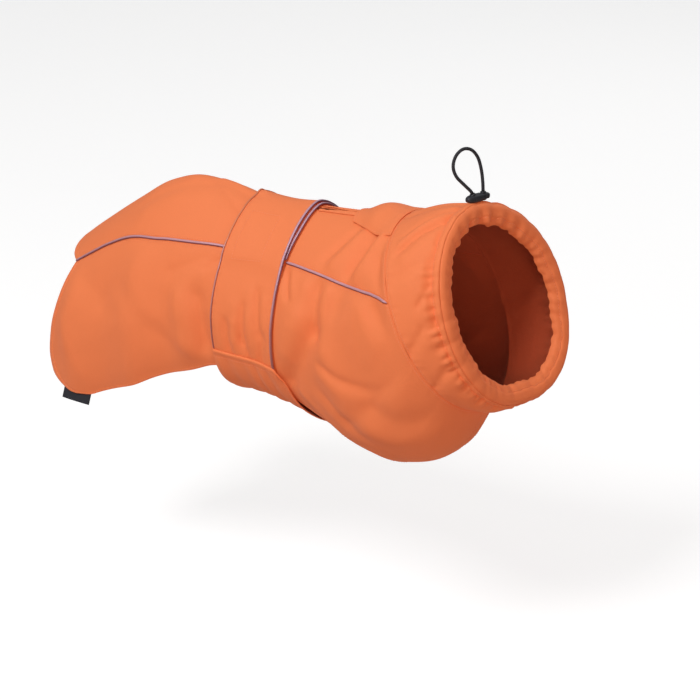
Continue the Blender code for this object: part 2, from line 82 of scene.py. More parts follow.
# Columns: station, share of the side seam
SIDE_SEAM = (
    (-276, 0.205),
    (-196, 0.197),
    (-179, 0.200),
    (-142, 0.224),
    (-112, 0.248),
    (-73, 0.254),
    (-36, 0.248),
    (0, 0.248),
    (36, 0.255),
    (63, 0.259),
    (80, 0.261),
    (96, 0.266),
    (111, 0.279),
    (124, 0.303),
    (131, 0.338),
    (137, 0.394),
)
# Columns: station, share of the lower hem; it runs round under the chest in front
HEM = (
    (-276, 0.68),
    (-234, 0.685),
    (-179, 0.695),
    (-112, 0.703),
    (-73, 0.709),
    (-36, 0.704),
    (0, 0.735),
    (36, 0.775),
    (63, 0.79),
    (89, 0.80),
    (100, 0.815),
    (108, 0.88),
    (113, 0.96),
    (117, 1.0),
    (137, 1.0),
)
# Rear edges of the back panel and of a side panel. Columns: share of the panel's breadth, station
BACK_EDGE = ((0.0, -258), (0.35, -256), (0.7, -248), (1.0, -234))
SIDE_EDGE = ((0.0, -234), (0.13, -243), (0.28, -251), (0.46, -260), (0.64, -264), (0.8, -258), (0.9, -243),
             (0.96, -222), (1.0, -196))

# Folds and creases. Columns: from_station, from_share, to_station, to_share, half breadth, height
FOLDS = (
    (84, -0.33, 106, -0.13, 11, 2.6),
    (106, -0.36, 124, -0.15, 10, 2.4),
    (94, -0.34, 114, -0.14, 8, -1.8),
    (47, -0.34, 49, -0.54, 10, 2.4),
    (64, -0.38, 67, -0.60, 12, -2.0),
    (90, -0.52, 112, -0.80, 12, 2.6),
    (110, -0.50, 124, -0.78, 10, -2.0),
    (124, -0.62, 130, -0.92, 9, 1.8),
    (-224, -0.34, -220, -0.74, 16, 3.0),
    (-176, -0.38, -174, -0.74, 18, -2.6),
    (-132, -0.34, -134, -0.74, 17, 3.0),
    (-92, -0.40, -92, -0.74, 14, -2.0),
    (-50, -0.46, -50, -0.62, 8, -2.4),
    (80, 0.32, 104, 0.14, 11, 2.4),
    (104, 0.35, 122, 0.16, 10, -2.0),
    (49, 0.36, 51, 0.54, 11, 2.6),
    (92, 0.50, 110, 0.80, 12, 2.4),
    (122, 0.60, 130, 0.90, 10, -2.0),
    (-218, 0.36, -216, 0.74, 16, -2.6),
    (-168, 0.36, -170, 0.74, 18, 3.0),
    (-118, 0.38, -116, 0.74, 16, -2.4),
    (-64, 0.44, -62, 0.66, 10, 2.0),
)
CREASES = (
    # right side, in front of the belt: pulls, shoulder and chest
    (39, -0.284, 46, -0.365, 3.2, -1.8),
    (44, -0.275, 52, -0.350, 3.4, 1.2),
    (76, -0.290, 75, -0.440, 6.5, -4.0),
    (75, -0.436, 48, -0.655, 7.5, -4.4),
    (85, -0.310, 86, -0.470, 5.5, 1.4),
    (62, -0.320, 58, -0.500, 6.0, 1.3),
    (76, -0.205, 94, -0.108, 4.6, -2.4),
    (84, -0.212, 102, -0.116, 4.6, 1.8),
    (103, -0.236, 122, -0.118, 4.6, -2.6),
    (110, -0.250, 128, -0.132, 4.2, 1.9),
    (131, -0.230, 133, -0.325, 3.8, -2.2),
    (128, -0.350, 135, -0.465, 5.2, -2.6),
    (119, -0.340, 127, -0.450, 5.0, 1.5),
    (96, -0.690, 122, -0.585, 6.0, -2.0),
    (87, -0.528, 112, -0.566, 4.4, -2.4),
    (84, -0.640, 102, -0.730, 5.0, -1.8),
    (112, -0.700, 128, -0.800, 6.0, 1.8),
    (118, -0.640, 131, -0.740, 5.0, -1.8),
    (60, -0.690, 84, -0.770, 5.0, 1.6),
    (100, -0.870, 134, -0.990, 15.0, 2.8),
    # right side, behind the belt
    (-58, -0.440, -46, -0.600, 8.5, -3.6),
    (-78, -0.440, -70, -0.590, 8.0, 1.6),
    (-88, -0.350, -50, -0.300, 6.5, -1.4),
    (-40, -0.300, -52, -0.335, 3.2, -1.3),
    (-120, -0.460, -60, -0.640, 8.0, 1.2),
    (-150, -0.380, -96, -0.560, 9.0, -1.5),
    (-205, -0.300, -160, -0.440, 10.0, -1.5),
    (-232, -0.420, -205, -0.600, 10.0, 1.4),
    # back
    (-80, 0.012, -30, 0.0, 3.6, 1.8),
    (-66, -0.05, -42, -0.10, 4.4, -1.1),
    (-66, 0.07, -42, 0.12, 4.4, -1.1),
    (-150, -0.09, -90, -0.04, 7.0, -1.2),
    (46, 0.08, 72, 0.12, 4.0, -1.3),
    # left side
    (40, 0.290, 47, 0.370, 3.2, -1.6),
    (71, 0.310, 72, 0.470, 5.5, -2.4),
    (72, 0.470, 52, 0.640, 7.0, -2.6),
    (84, 0.320, 86, 0.480, 5.5, 1.3),
    (78, 0.205, 96, 0.112, 4.6, -2.0),
    (87, 0.215, 104, 0.118, 4.6, 1.6),
    (105, 0.240, 123, 0.122, 4.6, -2.2),
    (128, 0.345, 135, 0.455, 5.2, -2.2),
    (95, 0.680, 120, 0.590, 6.0, -1.9),
    (110, 0.700, 127, 0.800, 6.0, 1.5),
    (100, 0.870, 134, 0.990, 15.0, 2.8),
    (-60, 0.440, -47, 0.590, 8.5, -3.2),
    (-80, 0.440, -72, 0.590, 8.0, 1.4),
    (-88, 0.350, -50, 0.300, 6.5, -1.3),
    (-146, 0.390, -98, 0.560, 9.0, -1.4),
    (-198, 0.310, -158, 0.450, 10.0, -1.4),
)
# Pulls in the lower part of the belt's wings, above the seams to the belly panel
BELT_CREASES = (
    (13, -0.380, 18, -0.520, 3.8, -2.0),
    (21, -0.400, 25, -0.510, 3.6, 1.1),
    (-1, -0.440, -1, -0.560, 3.8, -2.2),
    (-1, -0.560, 6, -0.640, 3.6, -2.0),
    (6, -0.470, 8, -0.560, 3.4, 1.2),
    (23, -0.520, 18, -0.630, 3.6, -2.0),
    (-20, -0.510, -16, -0.640, 4.0, -1.9),
    (-10, -0.500, -9, -0.620, 3.6, 1.2),
    (12, 0.400, 16, 0.530, 3.8, -1.9),
    (-3, 0.450, -1, 0.640, 4.0, -2.0),
    (22, 0.530, 19, 0.640, 3.6, -1.9),
    (-20, 0.520, -18, 0.640, 4.0, -1.8),
    (6, 0.480, 8, 0.600, 3.4, 1.1),
)
# Creases on the collar. Columns: from_way, from_share, to_way, to_share, half breadth, height. A way runs
# from the neck seam (0) to the rim (1).
COLLAR_CREASES = (
    (0.25, -0.235, 0.93, -0.125, 3.8, -2.2),
    (0.27, -0.205, 0.91, -0.095, 3.8, 1.6),
    (0.32, -0.172, 0.86, -0.075, 3.4, -1.3),
    (0.80, -0.480, 0.80, -0.300, 4.4, -2.6),
    (0.58, -0.420, 0.74, -0.380, 3.4, -1.4),
    (0.08, -0.560, 0.50, -0.505, 5.0, -1.6),
    (0.12, -0.700, 0.60, -0.655, 5.0, -1.6),
    (0.10, -0.330, 0.55, -0.300, 5.0, -1.2),
    (0.27, 0.235, 0.93, 0.125, 3.8, -2.0),
    (0.29, 0.205, 0.91, 0.095, 3.8, 1.4),
    (0.80, 0.480, 0.80, 0.300, 4.4, -2.4),
    (0.10, 0.600, 0.55, 0.540, 5.0, -1.5),
    (0.10, 0.045, 0.70, 0.020, 5.0, -1.2),
    (0.15, -0.060, 0.75, -0.035, 5.0, -1.2),
)

# Belly panel. Columns: station, share of its edge, lift from the body
BELLY = (
    (-36, 0.620, 4.0),
    (33, 0.620, 4.0),
    (42, 0.684, 4.0),
    (54, 0.860, 4.0),
    (64, 0.925, 1.9),
    (84, 0.930, -2.4),
    (100, 0.930, -4.6),
    (116, 0.905, -4.6),
    (121, 0.905, -4.6),
)

# The belt: the upper (right) wing laps over the lower (left) one on the back
BELT_REAR, BELT_FRONT = -36.0, 34.0
UNDER_REAR = -32.0
WING_START = 0.636
OVER_END, UNDER_END = 0.30, -0.25
# Lift of one layer of the belt, and the share over which a wing climbs onto the other
LAYER = 2.4
LAP_RAMP = 0.08
# The sewn outline of the fastening patch, and how far the tape behind it raises the cloth
PATCH_CORNERS = ((-24, -0.285), (9, -0.272), (9, -0.095), (-24, -0.095), (-24, -0.285))
PATCH_RISE = 0.35

# The harness slit, its two welts and the flap over its front end
SLIT_FROM, SLIT_TO, SLIT_HALF, SLIT_GAPE, SLIT_WIDEST = 28.0, 98.0, 0.7, 2.6, 47.0
SLIT_SHIFT = -0.017
WELT_FROM, WELT_TO, WELT_BREADTH, WELT_THICK = 39.5, 84.0, 5.2, 1.1
LABEL_THICK = 1.1
FLAP_REAR, FLAP_HALF_REAR, FLAP_HALF_FRONT = 82.0, 0.066, 0.154
FLAP_CORNER, FLAP_RISE = 3.5, 7.5

# The rim: its middle, and the ways from there to its right, left and lowest places
RIM_MIDDLE = (226.0, 6.0, -58.0)
RIM_RIGHT = (-14.0, -75.0, 9.0)
RIM_LEFT = (20.0, 90.0, -12.0)
RIM_DOWN = (21.0, 0.0, -90.0)
RIM_LEFT_POWER = 2.5
COLLAR_COLUMNS = 380
COLLAR_DEEP, COLLAR_ROUND = 60.0, 270.0
COLLAR_BULGE, THROAT_BULGE = 2.5, 1.5
GATHERS, GATHER_DEPTH = 25, 1.0
# The casing's stitching: its distance from the rim on the outside, and from the facing's inner edge
CASING_STITCH, FACING_STITCH = 7.0, 10.2
# Section of the facing. Columns: distance in from the rim, distance forwards
LIP_PROFILE = ((0.2, -0.9), (1.6, 0.7), (5.0, 1.9), (9.5, 1.6), (13.0, 0.2), (17.0, -1.6), (18.5, -6.0))

# Pipings on the side seams. Columns: name, station of the rear end and of the front end
SEAM_PIPINGS = (("rear", -233.5, -34.0), ("front", 34.0, NECK - 0.4))
# Lift of the pipings' middles over the former and over a wing, and the corners of their section
SEAM_PIPING_LIFT, WING_PIPING_LIFT = 2.2, 1.7
PIPING_SIDES = 14

# How far a hem is stitched from its edge, and the height of the puckers along hems and seams
HEM_STITCH = 8.6
PUCKER = 0.22
# Sewn lines. Columns: group, piece, which edge it follows, distance from it, places left off at each end
SEWN_LINES = (
    ("hems", "back", "first row", HEM_STITCH, 2, 2),
    ("hems", "side_right", "first row", HEM_STITCH, 6, 6),
    ("hems", "side_right", "first column", HEM_STITCH, 7, 4),
    ("seams", "side_right", "last column", 3.4, 3, 3),
    ("seams", "back", "first column", 3.4, 3, 3),
    ("seams", "side_right", "last row", 2.6, 4, 4),
    ("belt", "belt_right", "first row", 3.6, 2, 2),
    ("belt", "belt_right", "last row", 3.6, 2, 2),
    ("belt", "belt_right", "first column", 2.2, 3, 3),
    ("belt", "belt_right", "last column", 2.2, 3, 3),
    ("neck", "welt_right", "first column", 1.2, 0, 0),
    ("hems", "side_left", "first row", HEM_STITCH, 6, 6),
    ("hems", "side_left", "last column", HEM_STITCH, 7, 4),
    ("seams", "side_left", "first column", 3.4, 3, 3),
    ("seams", "back", "last column", 3.4, 3, 3),
    ("seams", "side_left", "last row", 2.6, 4, 4),
    ("belt", "belt_left", "first row", 3.6, 2, 2),
    ("belt", "belt_left", "last row", 3.6, 2, 2),
    ("belt", "belt_left", "first column", 2.2, 3, 3),
    ("belt", "belt_left", "last column", 2.2, 3, 3),
    ("neck", "welt_left", "last column", 1.2, 0, 0),
    ("neck", "flap", "first column", 3.0, 3, 3),
    ("neck", "flap", "last column", 3.0, 3, 3),
    ("neck", "flap", "first row", 3.0, 4, 4),
    ("hems", "belly", "first column", HEM_STITCH, 3, 3),
    ("hems", "belly", "last column", HEM_STITCH, 3, 3),
    ("neck", "collar", "last row, round", CASING_STITCH, 0, 0),
    ("neck", "facing", "last row, round", FACING_STITCH, 0, 0),
    ("neck", "collar", "first row, round", 2.8, 0, 0),
    ("seams", "back", "last row", 2.6, 4, 4),
)

# The cord lock: a body and a push button. Columns: place along the lock, size, power, steps of the grid
LOCK_MIDDLE = (200.5, 6.0, 37.7)
LOCK_TURN = 77.0
LOCK_BODY = (-1.8, (24.4, 9.0, 7.5), 2.7, (28, 40))
LOCK_BUTTON = (11.2, (5.4, 6.4, 5.4), 3.4, (16, 28))
LOCK_COLLAR = 5.2
# Columns: place along the lock, size against the body's
LOCK_RIDGES = ((-6.6, 1.0), (-9.0, 0.93), (7.6, 1.0))
RIDGE_HALF_WIDTH, RIDGE_HALF_HEIGHT = 4.25, 3.5
LOOP_ROUTE = (
    (198.9, -0.8, 42.4),
    (198.0, -2.0, 45.0),
    (194.0, -6.5, 51.0),
    (188.6, -11.6, 59.0),
    (186.4, -13.6, 68.0),
    (187.4, -11.0, 77.0),
    (190.6, -4.4, 82.2),
    (194.4, 3.4, 80.6),
    (197.6, 9.6, 73.0),
    (199.8, 12.4, 62.0),
    (201.4, 12.9, 51.0),
    (202.1, 12.8, 42.4),
)

# The stage, in metres. Section of the floor, a wide bowl, in mm. Columns: distance out, height
FLOOR_SECTION = ((0, -430), (3500, -430), (5200, -430), (6400, -180), (7000, 500), (7200, 1800),
                 (7250, 7000))
FLOOR_SIDES = 96
# Lights. Columns: name, place, size, power, colour
LIGHTS = (
    ("key", (-0.2, -2.0, 2.1), 0.8, 54, (1.0, 1.0, 1.0)),
    ("fill", (2.2, -2.2, 0.5), 1.6, 21, (1.0, 0.62, 0.50)),
    ("rim", (0.2, 2.6, 1.8), 2.0, 12, (1.0, 1.0, 1.0)),
)
LIGHTS_AIM = (0.03, 0.0, -0.1)
SKY_STRENGTH = 0.5
CAMERA_TARGET = (0.0749, -0.0091, -0.1286)
CAMERA_AZIMUTH, CAMERA_ELEVATION = math.radians(34), math.radians(21)
CAMERA_DISTANCE, CAMERA_LENS = 1.6, 86.6


# ---------------------------------------------------------------- curves and the former


def smooth(table, at):
    """Rows of a table read between its first column's values by a cubic that never overshoots."""
    table = np.asarray(table, float)
    xs, ys = table[:, 0], table[:, 1:]
    at = np.clip(np.asarray(at, float), xs[0], xs[-1])
    step = np.diff(xs)[:, None]
    slope = np.diff(ys, axis=0) / step
    tangent = np.zeros_like(ys)
    tangent[0], tangent[-1] = slope[0], slope[-1]
    before, after = step[:-1] + 2 * step[1:], 2 * step[:-1] + step[1:]
    same_way = slope[:-1] * slope[1:] > 0
    low, high = np.where(same_way, slope[:-1], 1), np.where(same_way, slope[1:], 1)
    tangent[1:-1] = np.where(same_way, (before + after) / (before / low + after / high), 0)
    cell = np.clip(np.searchsorted(xs, at, side="right") - 1, 0, len(xs) - 2)
    t = ((at - xs[cell]) / np.diff(xs)[cell])[..., None]
    width = np.diff(xs)[cell][..., None]
    return (
        (1 + 2 * t) * (1 - t) ** 2 * ys[cell]
        + t * (1 - t) ** 2 * width * tangent[cell]
        + t * t * (3 - 2 * t) * ys[cell + 1]
        + t * t * (t - 1) * width * tangent[cell + 1]
    )


def ease(t):
    """Soft step: 3t^2 - 2t^3 with t held between 0 and 1."""
    t = np.clip(t, 0, 1)
    return t * t * (3 - 2 * t)


def bell(x, middle, breadth):
    """1 at the middle, falling off both ways: exp(-((x - middle) / breadth)^2)."""
    return np.exp(-(((x - middle) / breadth) ** 2))


def unit(vectors):
    """Vectors divided by their lengths."""
    return vectors / np.maximum(np.linalg.norm(vectors, axis=-1, keepdims=True), 1e-12)


def soften(rows, reach):
    """Each column averaged with Gaussian weights exp(-(steps/reach)^2), its ends carried on straight."""
    pad = 3 * reach
    steps = np.arange(1, pad + 1)[:, None]
    front = rows[0] - (rows[1] - rows[0]) * steps[::-1]
    back = rows[-1] + (rows[-1] - rows[-2]) * steps
    long = np.vstack([front, rows, back])
    weights = bell(np.arange(-pad, pad + 1), 0, reach)
    weights /= weights.sum()
    columns = range(rows.shape[1])
    return np.stack([np.convolve(long[:, k], weights, mode="valid") for k in columns], axis=1)


def walk(path, run, at):
    """Places on a path at given lengths along it, from the length run at each of its points."""
    return np.stack([np.interp(at, run, path[..., k].ravel()) for k in range(3)], axis=-1)


def former_table():
    """The body as a table, with a row for each mm of station and its columns evenly round the girth.

    A ring runs from its top to its bottom. Its half breadth is sin^(2/power) of an angle from 0 to pi and
    its height is cos^(2/power), with one power above the widest point and one below. Each half is then
    spaced evenly along its own length. The way out is the cross product of the table's two directions.
    """
    station = np.arange(RUMP, NECK + 0.5, 1.0)
    rings = soften(smooth(RINGS, station), 6)
    top_z, bottom_x, bottom_z, half_width, widest, upper, lower = rings.T[:, :, None]
    angle = np.linspace(0, math.pi, 361)[None]
    high = np.cos(angle) >= 0
    power = np.where(high, upper, lower)
    out = np.abs(np.sin(angle)) ** (2 / power) * half_width
    level = np.abs(np.cos(angle)) ** (2 / power)
    down = np.where(high, widest * (1 - level), widest + (1 - widest) * level)
    x = station[:, None] + (bottom_x - station[:, None]) * down
    z = top_z + (bottom_z - top_z) * down
    places = np.stack([x, out, z], axis=-1)
    length = np.cumsum(np.linalg.norm(np.diff(places, axis=1, prepend=places[:, :1]), axis=-1), axis=1)
    apart = np.arange(len(station))[:, None] * 1e5
    wanted = (np.linspace(0, 1, HALF_COLUMNS + 1)[None] * length[:, -1:] + apart).ravel()
    known = (length + apart).ravel()
    half = walk(places, known, wanted).reshape(len(station), HALF_COLUMNS + 1, 3)
    mirrored = half[:, :0:-1] * np.array([1, -1, 1])
    table = np.concatenate([mirrored, half], axis=1)
    out_way = unit(np.cross(np.gradient(table, axis=0), np.gradient(table, axis=1)))
    return table, out_way


FORMER, FORMER_OUT = former_table()


def read(table, station, share):
    """The table read between its nodes: a mean of the four nearest, weighted by nearness."""
    station, share = np.broadcast_arrays(np.asarray(station, float), np.asarray(share, float))
    a = np.clip(station - RUMP, 0, table.shape[0] - 1.0001)
    b = np.clip((share + 1) * HALF_COLUMNS, 0, table.shape[1] - 1.0001)
    i, j = a.astype(int), b.astype(int)
    a, b = (a - i)[..., None], (b - j)[..., None]
    near = table[i, j] * (1 - b) + table[i, j + 1] * b
    far = table[i + 1, j] * (1 - b) + table[i + 1, j + 1] * b
    return near * (1 - a) + far * a


def crease_sum(u, v, rows, scale_u=1.0, scale_v=GIRTH, shoulder=0.0):
    """Sum of soft creases: height * bell of the distance from a line, fading past the line's ends.

    shoulder adds a lower, wider swell of the other sign beside the line, as cloth has beside a pull.
    """
    total = np.zeros(np.broadcast(u, v).shape)
    for from_u, from_v, to_u, to_v, breadth, height in rows:
        ahead = ((to_u - from_u) * scale_u, (to_v - from_v) * scale_v)
        length = math.hypot(*ahead)
        du, dv = (u - from_u) * scale_u, (v - from_v) * scale_v
        t = (du * ahead[0] + dv * ahead[1]) / length**2
        aside = (du * ahead[1] - dv * ahead[0]) / length
        beyond = np.maximum(np.abs(t - 0.5) - 0.5, 0) * length
        past = bell(beyond, 0, 1.5 * breadth)
        beside = shoulder * bell(aside, 2.3 * breadth, 1.7 * breadth)
        total = total + height * (bell(aside, 0, breadth) - beside) * past
    return total


def uneven_wave(along, pitch, seed):
    """A wave from -1 to 1 whose pitch and height wander: sin(a + sin(a/4.7)) * (0.65 + 0.35 sin(a/3.1))."""
    a = 2 * math.pi * along / pitch + seed
    return np.sin(a + 1.3 * np.sin(a / 4.7 + seed)) * (0.65 + 0.35 * np.sin(a / 3.1 + 2 * seed))


def body(station, share, lift=0.0, creases=True):
    """A place on the folded cloth: the former moved out by its folds, its creases and the lift, in mm.

    Folds and creases fade towards the neck seam and along the side seams.
    """
    station, share = np.broadcast_arrays(np.asarray(station, float), np.asarray(share, float))
    rise = crease_sum(station, share, FOLDS)
    if creases:
        rise = rise + crease_sum(station, share, CREASES, shoulder=0.5)
    from_seam = (np.abs(share) - side_seam(station)) * GIRTH
    rise = rise * ease((NECK - station) / 8) * (1 - 0.8 * bell(from_seam, 0, 8)) + lift
    return read(FORMER, station, share) + read(FORMER_OUT, station, share) * rise[..., None]


def side_seam(station):
    """Share of the side seam."""
    return smooth(SIDE_SEAM, station)[..., 0]


def hem_share(station):
    """Share of the lower hem."""
    return smooth(HEM, station)[..., 0]


def arc(points, axis):
    """Length run along one direction of a grid of points, from its first row or column."""
    steps = np.linalg.norm(np.diff(points, axis=axis), axis=-1)
    start = np.zeros_like(np.take(steps, [0], axis=axis))
    return np.cumsum(np.concatenate([start, steps], axis=axis), axis=axis)


def spread(places, span, near_start=(), near_end=()):
    """Places from 0 to 1 with more added close to the ends, at distances given in mm of a span in mm."""
    added = [np.asarray(places, float), np.array(near_start) / span, 1 - np.array(near_end) / span]
    merged = np.unique(np.round(np.concatenate(added), 7))
    return merged[(merged >= 0) & (merged <= 1)]


# Distances from an edge at which a grid has extra lines: for its round edge, the dip beside it, and a hem
EDGE_MM = (0.1, 0.3, 0.65, 1.3)
DIP_MM = EDGE_MM + (2.4,)
HEM_MM = EDGE_MM + (7.4, 8.1, HEM_STITCH, 9.1, 9.8)


def row_places(count):
    """Places from the rear edge (0) to the neck (1), as even as can be on the spine and the chest."""
    station = np.linspace(RUMP, NECK, 200)
    run = arc(read(FORMER, station, 0.0), 0) + arc(read(FORMER, station, 0.8), 0)
    return np.interp(np.linspace(0, run[-1], count), run, np.linspace(0, 1, 200))


# ---------------------------------------------------------------- meshes


def grid_out(points, closed=False):
    """Unit way out at each point of a grid: the cross product of its two directions."""
    along = np.gradient(points, axis=0)
    if closed:
        across = np.roll(points, -1, axis=1) - np.roll(points, 1, axis=1)
    else:
        across = np.gradient(points, axis=1)
    return unit(np.cross(along, across))


def rounded(distance, half):
    """Height of a round edge: the quarter circle sqrt(1 - (1 - d/half)^2), 1 past it."""
    return np.sqrt(np.clip(1 - (1 - np.clip(distance / half, 0, 1)) ** 2, 0, 1))


def grid_faces(rows, columns, closed):
    """Corner numbers of a grid's four-sided cells, facing the way out."""
    i, j = np.meshgrid(np.arange(rows - 1), np.arange(columns if closed else columns - 1), indexing="ij")
    right = (j + 1) % columns
    near, far = i * columns, (i + 1) * columns
    return np.stack([near + j, far + j, far + right, near + right], axis=-1).reshape(-1, 4)


def closed_faces(rows, columns):
    """The cells of a grid that is round one way, and the triangles from its two end rings to two points,
    which are numbered after the grid.
    """
    j = np.arange(columns)
    k = (j + 1) % columns
    count, last = rows * columns, (rows - 1) * columns
    caps = np.concatenate([np.stack([np.full(columns, count), j, k], axis=1),
                           np.stack([np.full(columns, count + 1), k + last, j + last], axis=1)])
    return grid_faces(rows, columns, True), caps


def make_mesh(name, vertices, quads, uv, attributes=None, triangles=None):
    """A smooth mesh object from arrays: corners in mm, four-sided and three-sided faces, UV in metres."""
    mesh = bpy.data.meshes.new(name)
    tri = np.zeros((0, 3), int) if triangles is None else np.asarray(triangles)
    corners = np.concatenate([quads.ravel(), tri.ravel()]).astype(np.int32)
    sizes = np.concatenate([np.full(len(quads), 4), np.full(len(tri), 3)])
    mesh.vertices.add(len(vertices))
    mesh.vertices.foreach_set("co", (vertices * MM).astype(np.float32).ravel())
    mesh.loops.add(len(corners))
    mesh.loops.foreach_set("vertex_index", corners)
    mesh.polygons.add(len(sizes))
    mesh.polygons.foreach_set("loop_start", np.concatenate([[0], np.cumsum(sizes)[:-1]]).astype(np.int32))
    layer = mesh.uv_layers.new(name="UVMap")
    layer.data.foreach_set("uv", uv[corners].astype(np.float32).ravel())
    for label, values in (attributes or {}).items():
        made = mesh.attributes.new(label, "FLOAT", "POINT")
        made.data.foreach_set("value", np.asarray(values, np.float32).ravel())
    mesh.update(calc_edges=True)
    mesh.validate()
    mesh.shade_smooth()
    thing = bpy.data.objects.new(name, mesh)
    bpy.context.scene.collection.objects.link(thing)
    return thing


def shell(name, mid, up, down, closed, left_out):
    """A closed cloth wall round a grid of places: its outside lies up mm out and its inside down mm in.

    The two sides share the grid's edge, where both are 0, so the wall is closed and round there. left_out
    is a mask of cells that stay open; their rims are closed by a short wall. The object and its outside are
    returned.
    """
    rows, columns = mid.shape[:2]
    out = grid_out(mid, closed)
    outside, inside = mid + out * up[..., None], mid - out * down[..., None]
    count = rows * columns
    number = np.arange(count).reshape(rows, columns)
    under = number + count
    edge = np.zeros((rows, columns), bool)
    edge[0] = edge[-1] = True
    if not closed:
        edge[:, 0] = edge[:, -1] = True
    lower = np.where(edge, number, under)
    quads = grid_faces(rows, columns, closed)
    keep = np.ones(len(quads), bool)
    rims = np.zeros((0, 4), int)
    if left_out is not None:
        keep = ~left_out.ravel()
        gone = quads[~keep]
        sides = np.stack([gone, np.roll(gone, -1, axis=1)], axis=-1).reshape(-1, 2)
        both = {tuple(side) for side in sides.tolist()}
        loose = np.array([side for side in sides.tolist() if (side[1], side[0]) not in both])
        flat_lower = lower.ravel()
        start, end = loose.T
        rims = np.stack([start, end, flat_lower[end], flat_lower[start]], axis=1)
    top = quads[keep]
    bottom = lower.ravel()[top][:, ::-1]
    faces = np.concatenate([top, bottom, rims])
    vertices = np.concatenate([outside.reshape(-1, 3), inside.reshape(-1, 3)])
    across = arc(mid, 1)
    if closed:
        across = np.broadcast_to(np.arange(columns) * across[:, -1].mean() / columns, (rows, columns))
    uv = np.stack([across, arc(mid, 0)], axis=-1).reshape(-1, 2) * MM
    lining = np.concatenate([np.zeros(count), np.ones(count)])
    used = np.unique(faces)
    renumber = np.zeros(2 * count, int)
    renumber[used] = np.arange(len(used))
    thing = make_mesh(name, vertices[used], renumber[faces], np.concatenate([uv, uv])[used],
                      {"lining": lining[used]})
    return thing, outside


def cloth(name, mid, edges, thickness, closed=False, left_out=None, extra=None):
    """A cloth piece: its wall is rounded at its edges, each of which is a hem, a seam or a plain edge.

    edges names the finish of the first row, last row, first column and last column. A hem is a second
    layer with a groove at its stitching and small puckers. A seam dips towards its line over 3 mm. extra
    is added to the outside.
    """
    half = thickness / 2
    down_rows, across = arc(mid, 0), arc(mid, 1)
    distances = (down_rows, down_rows[-1:] - down_rows, across, across[:, -1:] - across)
    runs = (across, across, down_rows, down_rows)
    round_off = np.ones(mid.shape[:2])
    extra_up = np.zeros(mid.shape[:2])
    for k, (finish, distance, run) in enumerate(zip(edges, distances, runs)):
        if closed and k > 1:
            continue
        round_off = np.minimum(round_off, rounded(distance, half))
        if finish == "hem":
            band = 1 - ease((distance - 8.0) / 1.2)
            extra_up += 0.32 * band - 0.42 * bell(distance, HEM_STITCH, 0.55)
            wave = uneven_wave(run, 7.5, 1.7 * k + 0.4)
            extra_up += PUCKER * wave * bell(distance, 7.5, 5.0)
        elif finish == "seam":
            extra_up -= 0.6 * bell(distance, 0, 2.0)
            wave = uneven_wave(run, 9.0, 2.3 * k + 0.9)
            extra_up += PUCKER * wave * bell(distance, 4, 5.0)
    if extra is not None:
        extra_up = extra_up + extra
    fade = np.minimum(distances[0] / 1.5, 1)
    up = (half + extra_up * fade * np.minimum(distances[1] / 1.5, 1)) * round_off
    return shell(name, mid, up, half * round_off, closed, left_out)


def tube(path, out, width, height, sides, taper=0.0):
    """A closed tube along a path: an ellipse with its height along the way out, and a point at each end.

    taper is the length in mm over which each end narrows, as the root of the share of the way.
    """
    path, out = np.asarray(path, float), unit(np.asarray(out, float))
    ahead = unit(np.gradient(path, axis=0))
    side = unit(np.cross(ahead, out))
    out = np.cross(side, ahead)
    run = arc(path[:, None], 0)[:, 0]
    size = np.ones(len(path))
    if taper:
        size = np.sqrt(np.clip(np.minimum(run, run[-1] - run) / taper, 0.12, 1))
    turn = np.arange(sides) * 2 * math.pi / sides
    across = np.cos(turn)[None, :, None] * side[:, None] * width / 2
    upward = np.sin(turn)[None, :, None] * out[:, None] * height / 2
    ring = path[:, None] + (across + upward) * size[:, None, None]
    vertices = np.concatenate([ring.reshape(-1, 3), path[:1], path[-1:]])
    uv = np.stack(np.broadcast_arrays(run[:, None], turn[None] / (2 * math.pi)), axis=-1).reshape(-1, 2)
    uv = np.concatenate([uv, [[0, 0.25], [run[-1], 0.25]]]) * np.array([MM, 1.0])
    return vertices, *closed_faces(len(path), sides), uv


def join(parts):
    """Several vertex, quad, triangle and UV arrays as one."""
    vertices, quads, triangles, uvs, start = [], [], [], [], 0
    for v, q, t, uv in parts:
        vertices.append(v)
        quads.append(q + start)
        triangles.append(t + start)
        uvs.append(uv)
        start += len(v)
    return tuple(np.concatenate(arrays) for arrays in (vertices, quads, triangles, uvs))


def evenly(path, step):
    """Points along a path at an even step."""
    run = arc(path[:, None], 0)[:, 0]
    at = np.linspace(0, run[-1], max(2, int(round(run[-1] / step)) + 1))
    return walk(path, run, at)


def settle(points, surface):
    """Points dropped onto a surface's grid: each moves along the mean way out of its six nearest grid
    points until it lies level with them. The ways are returned too.
    """
    flat = surface.reshape(-1, 3)
    ways = grid_out(surface).reshape(-1, 3)
    gap = ((points[:, None] - flat[None]) ** 2).sum(-1)
    near = np.argpartition(gap, 6, axis=1)[:, :6]
    weight = 1 / (np.take_along_axis(gap, near, 1) + 0.3)
    weight = (weight / weight.sum(1, keepdims=True))[..., None]
    level, way = (flat[near] * weight).sum(1), unit((ways[near] * weight).sum(1))
    return points - ((points - level) * way).sum(1, keepdims=True) * way, way


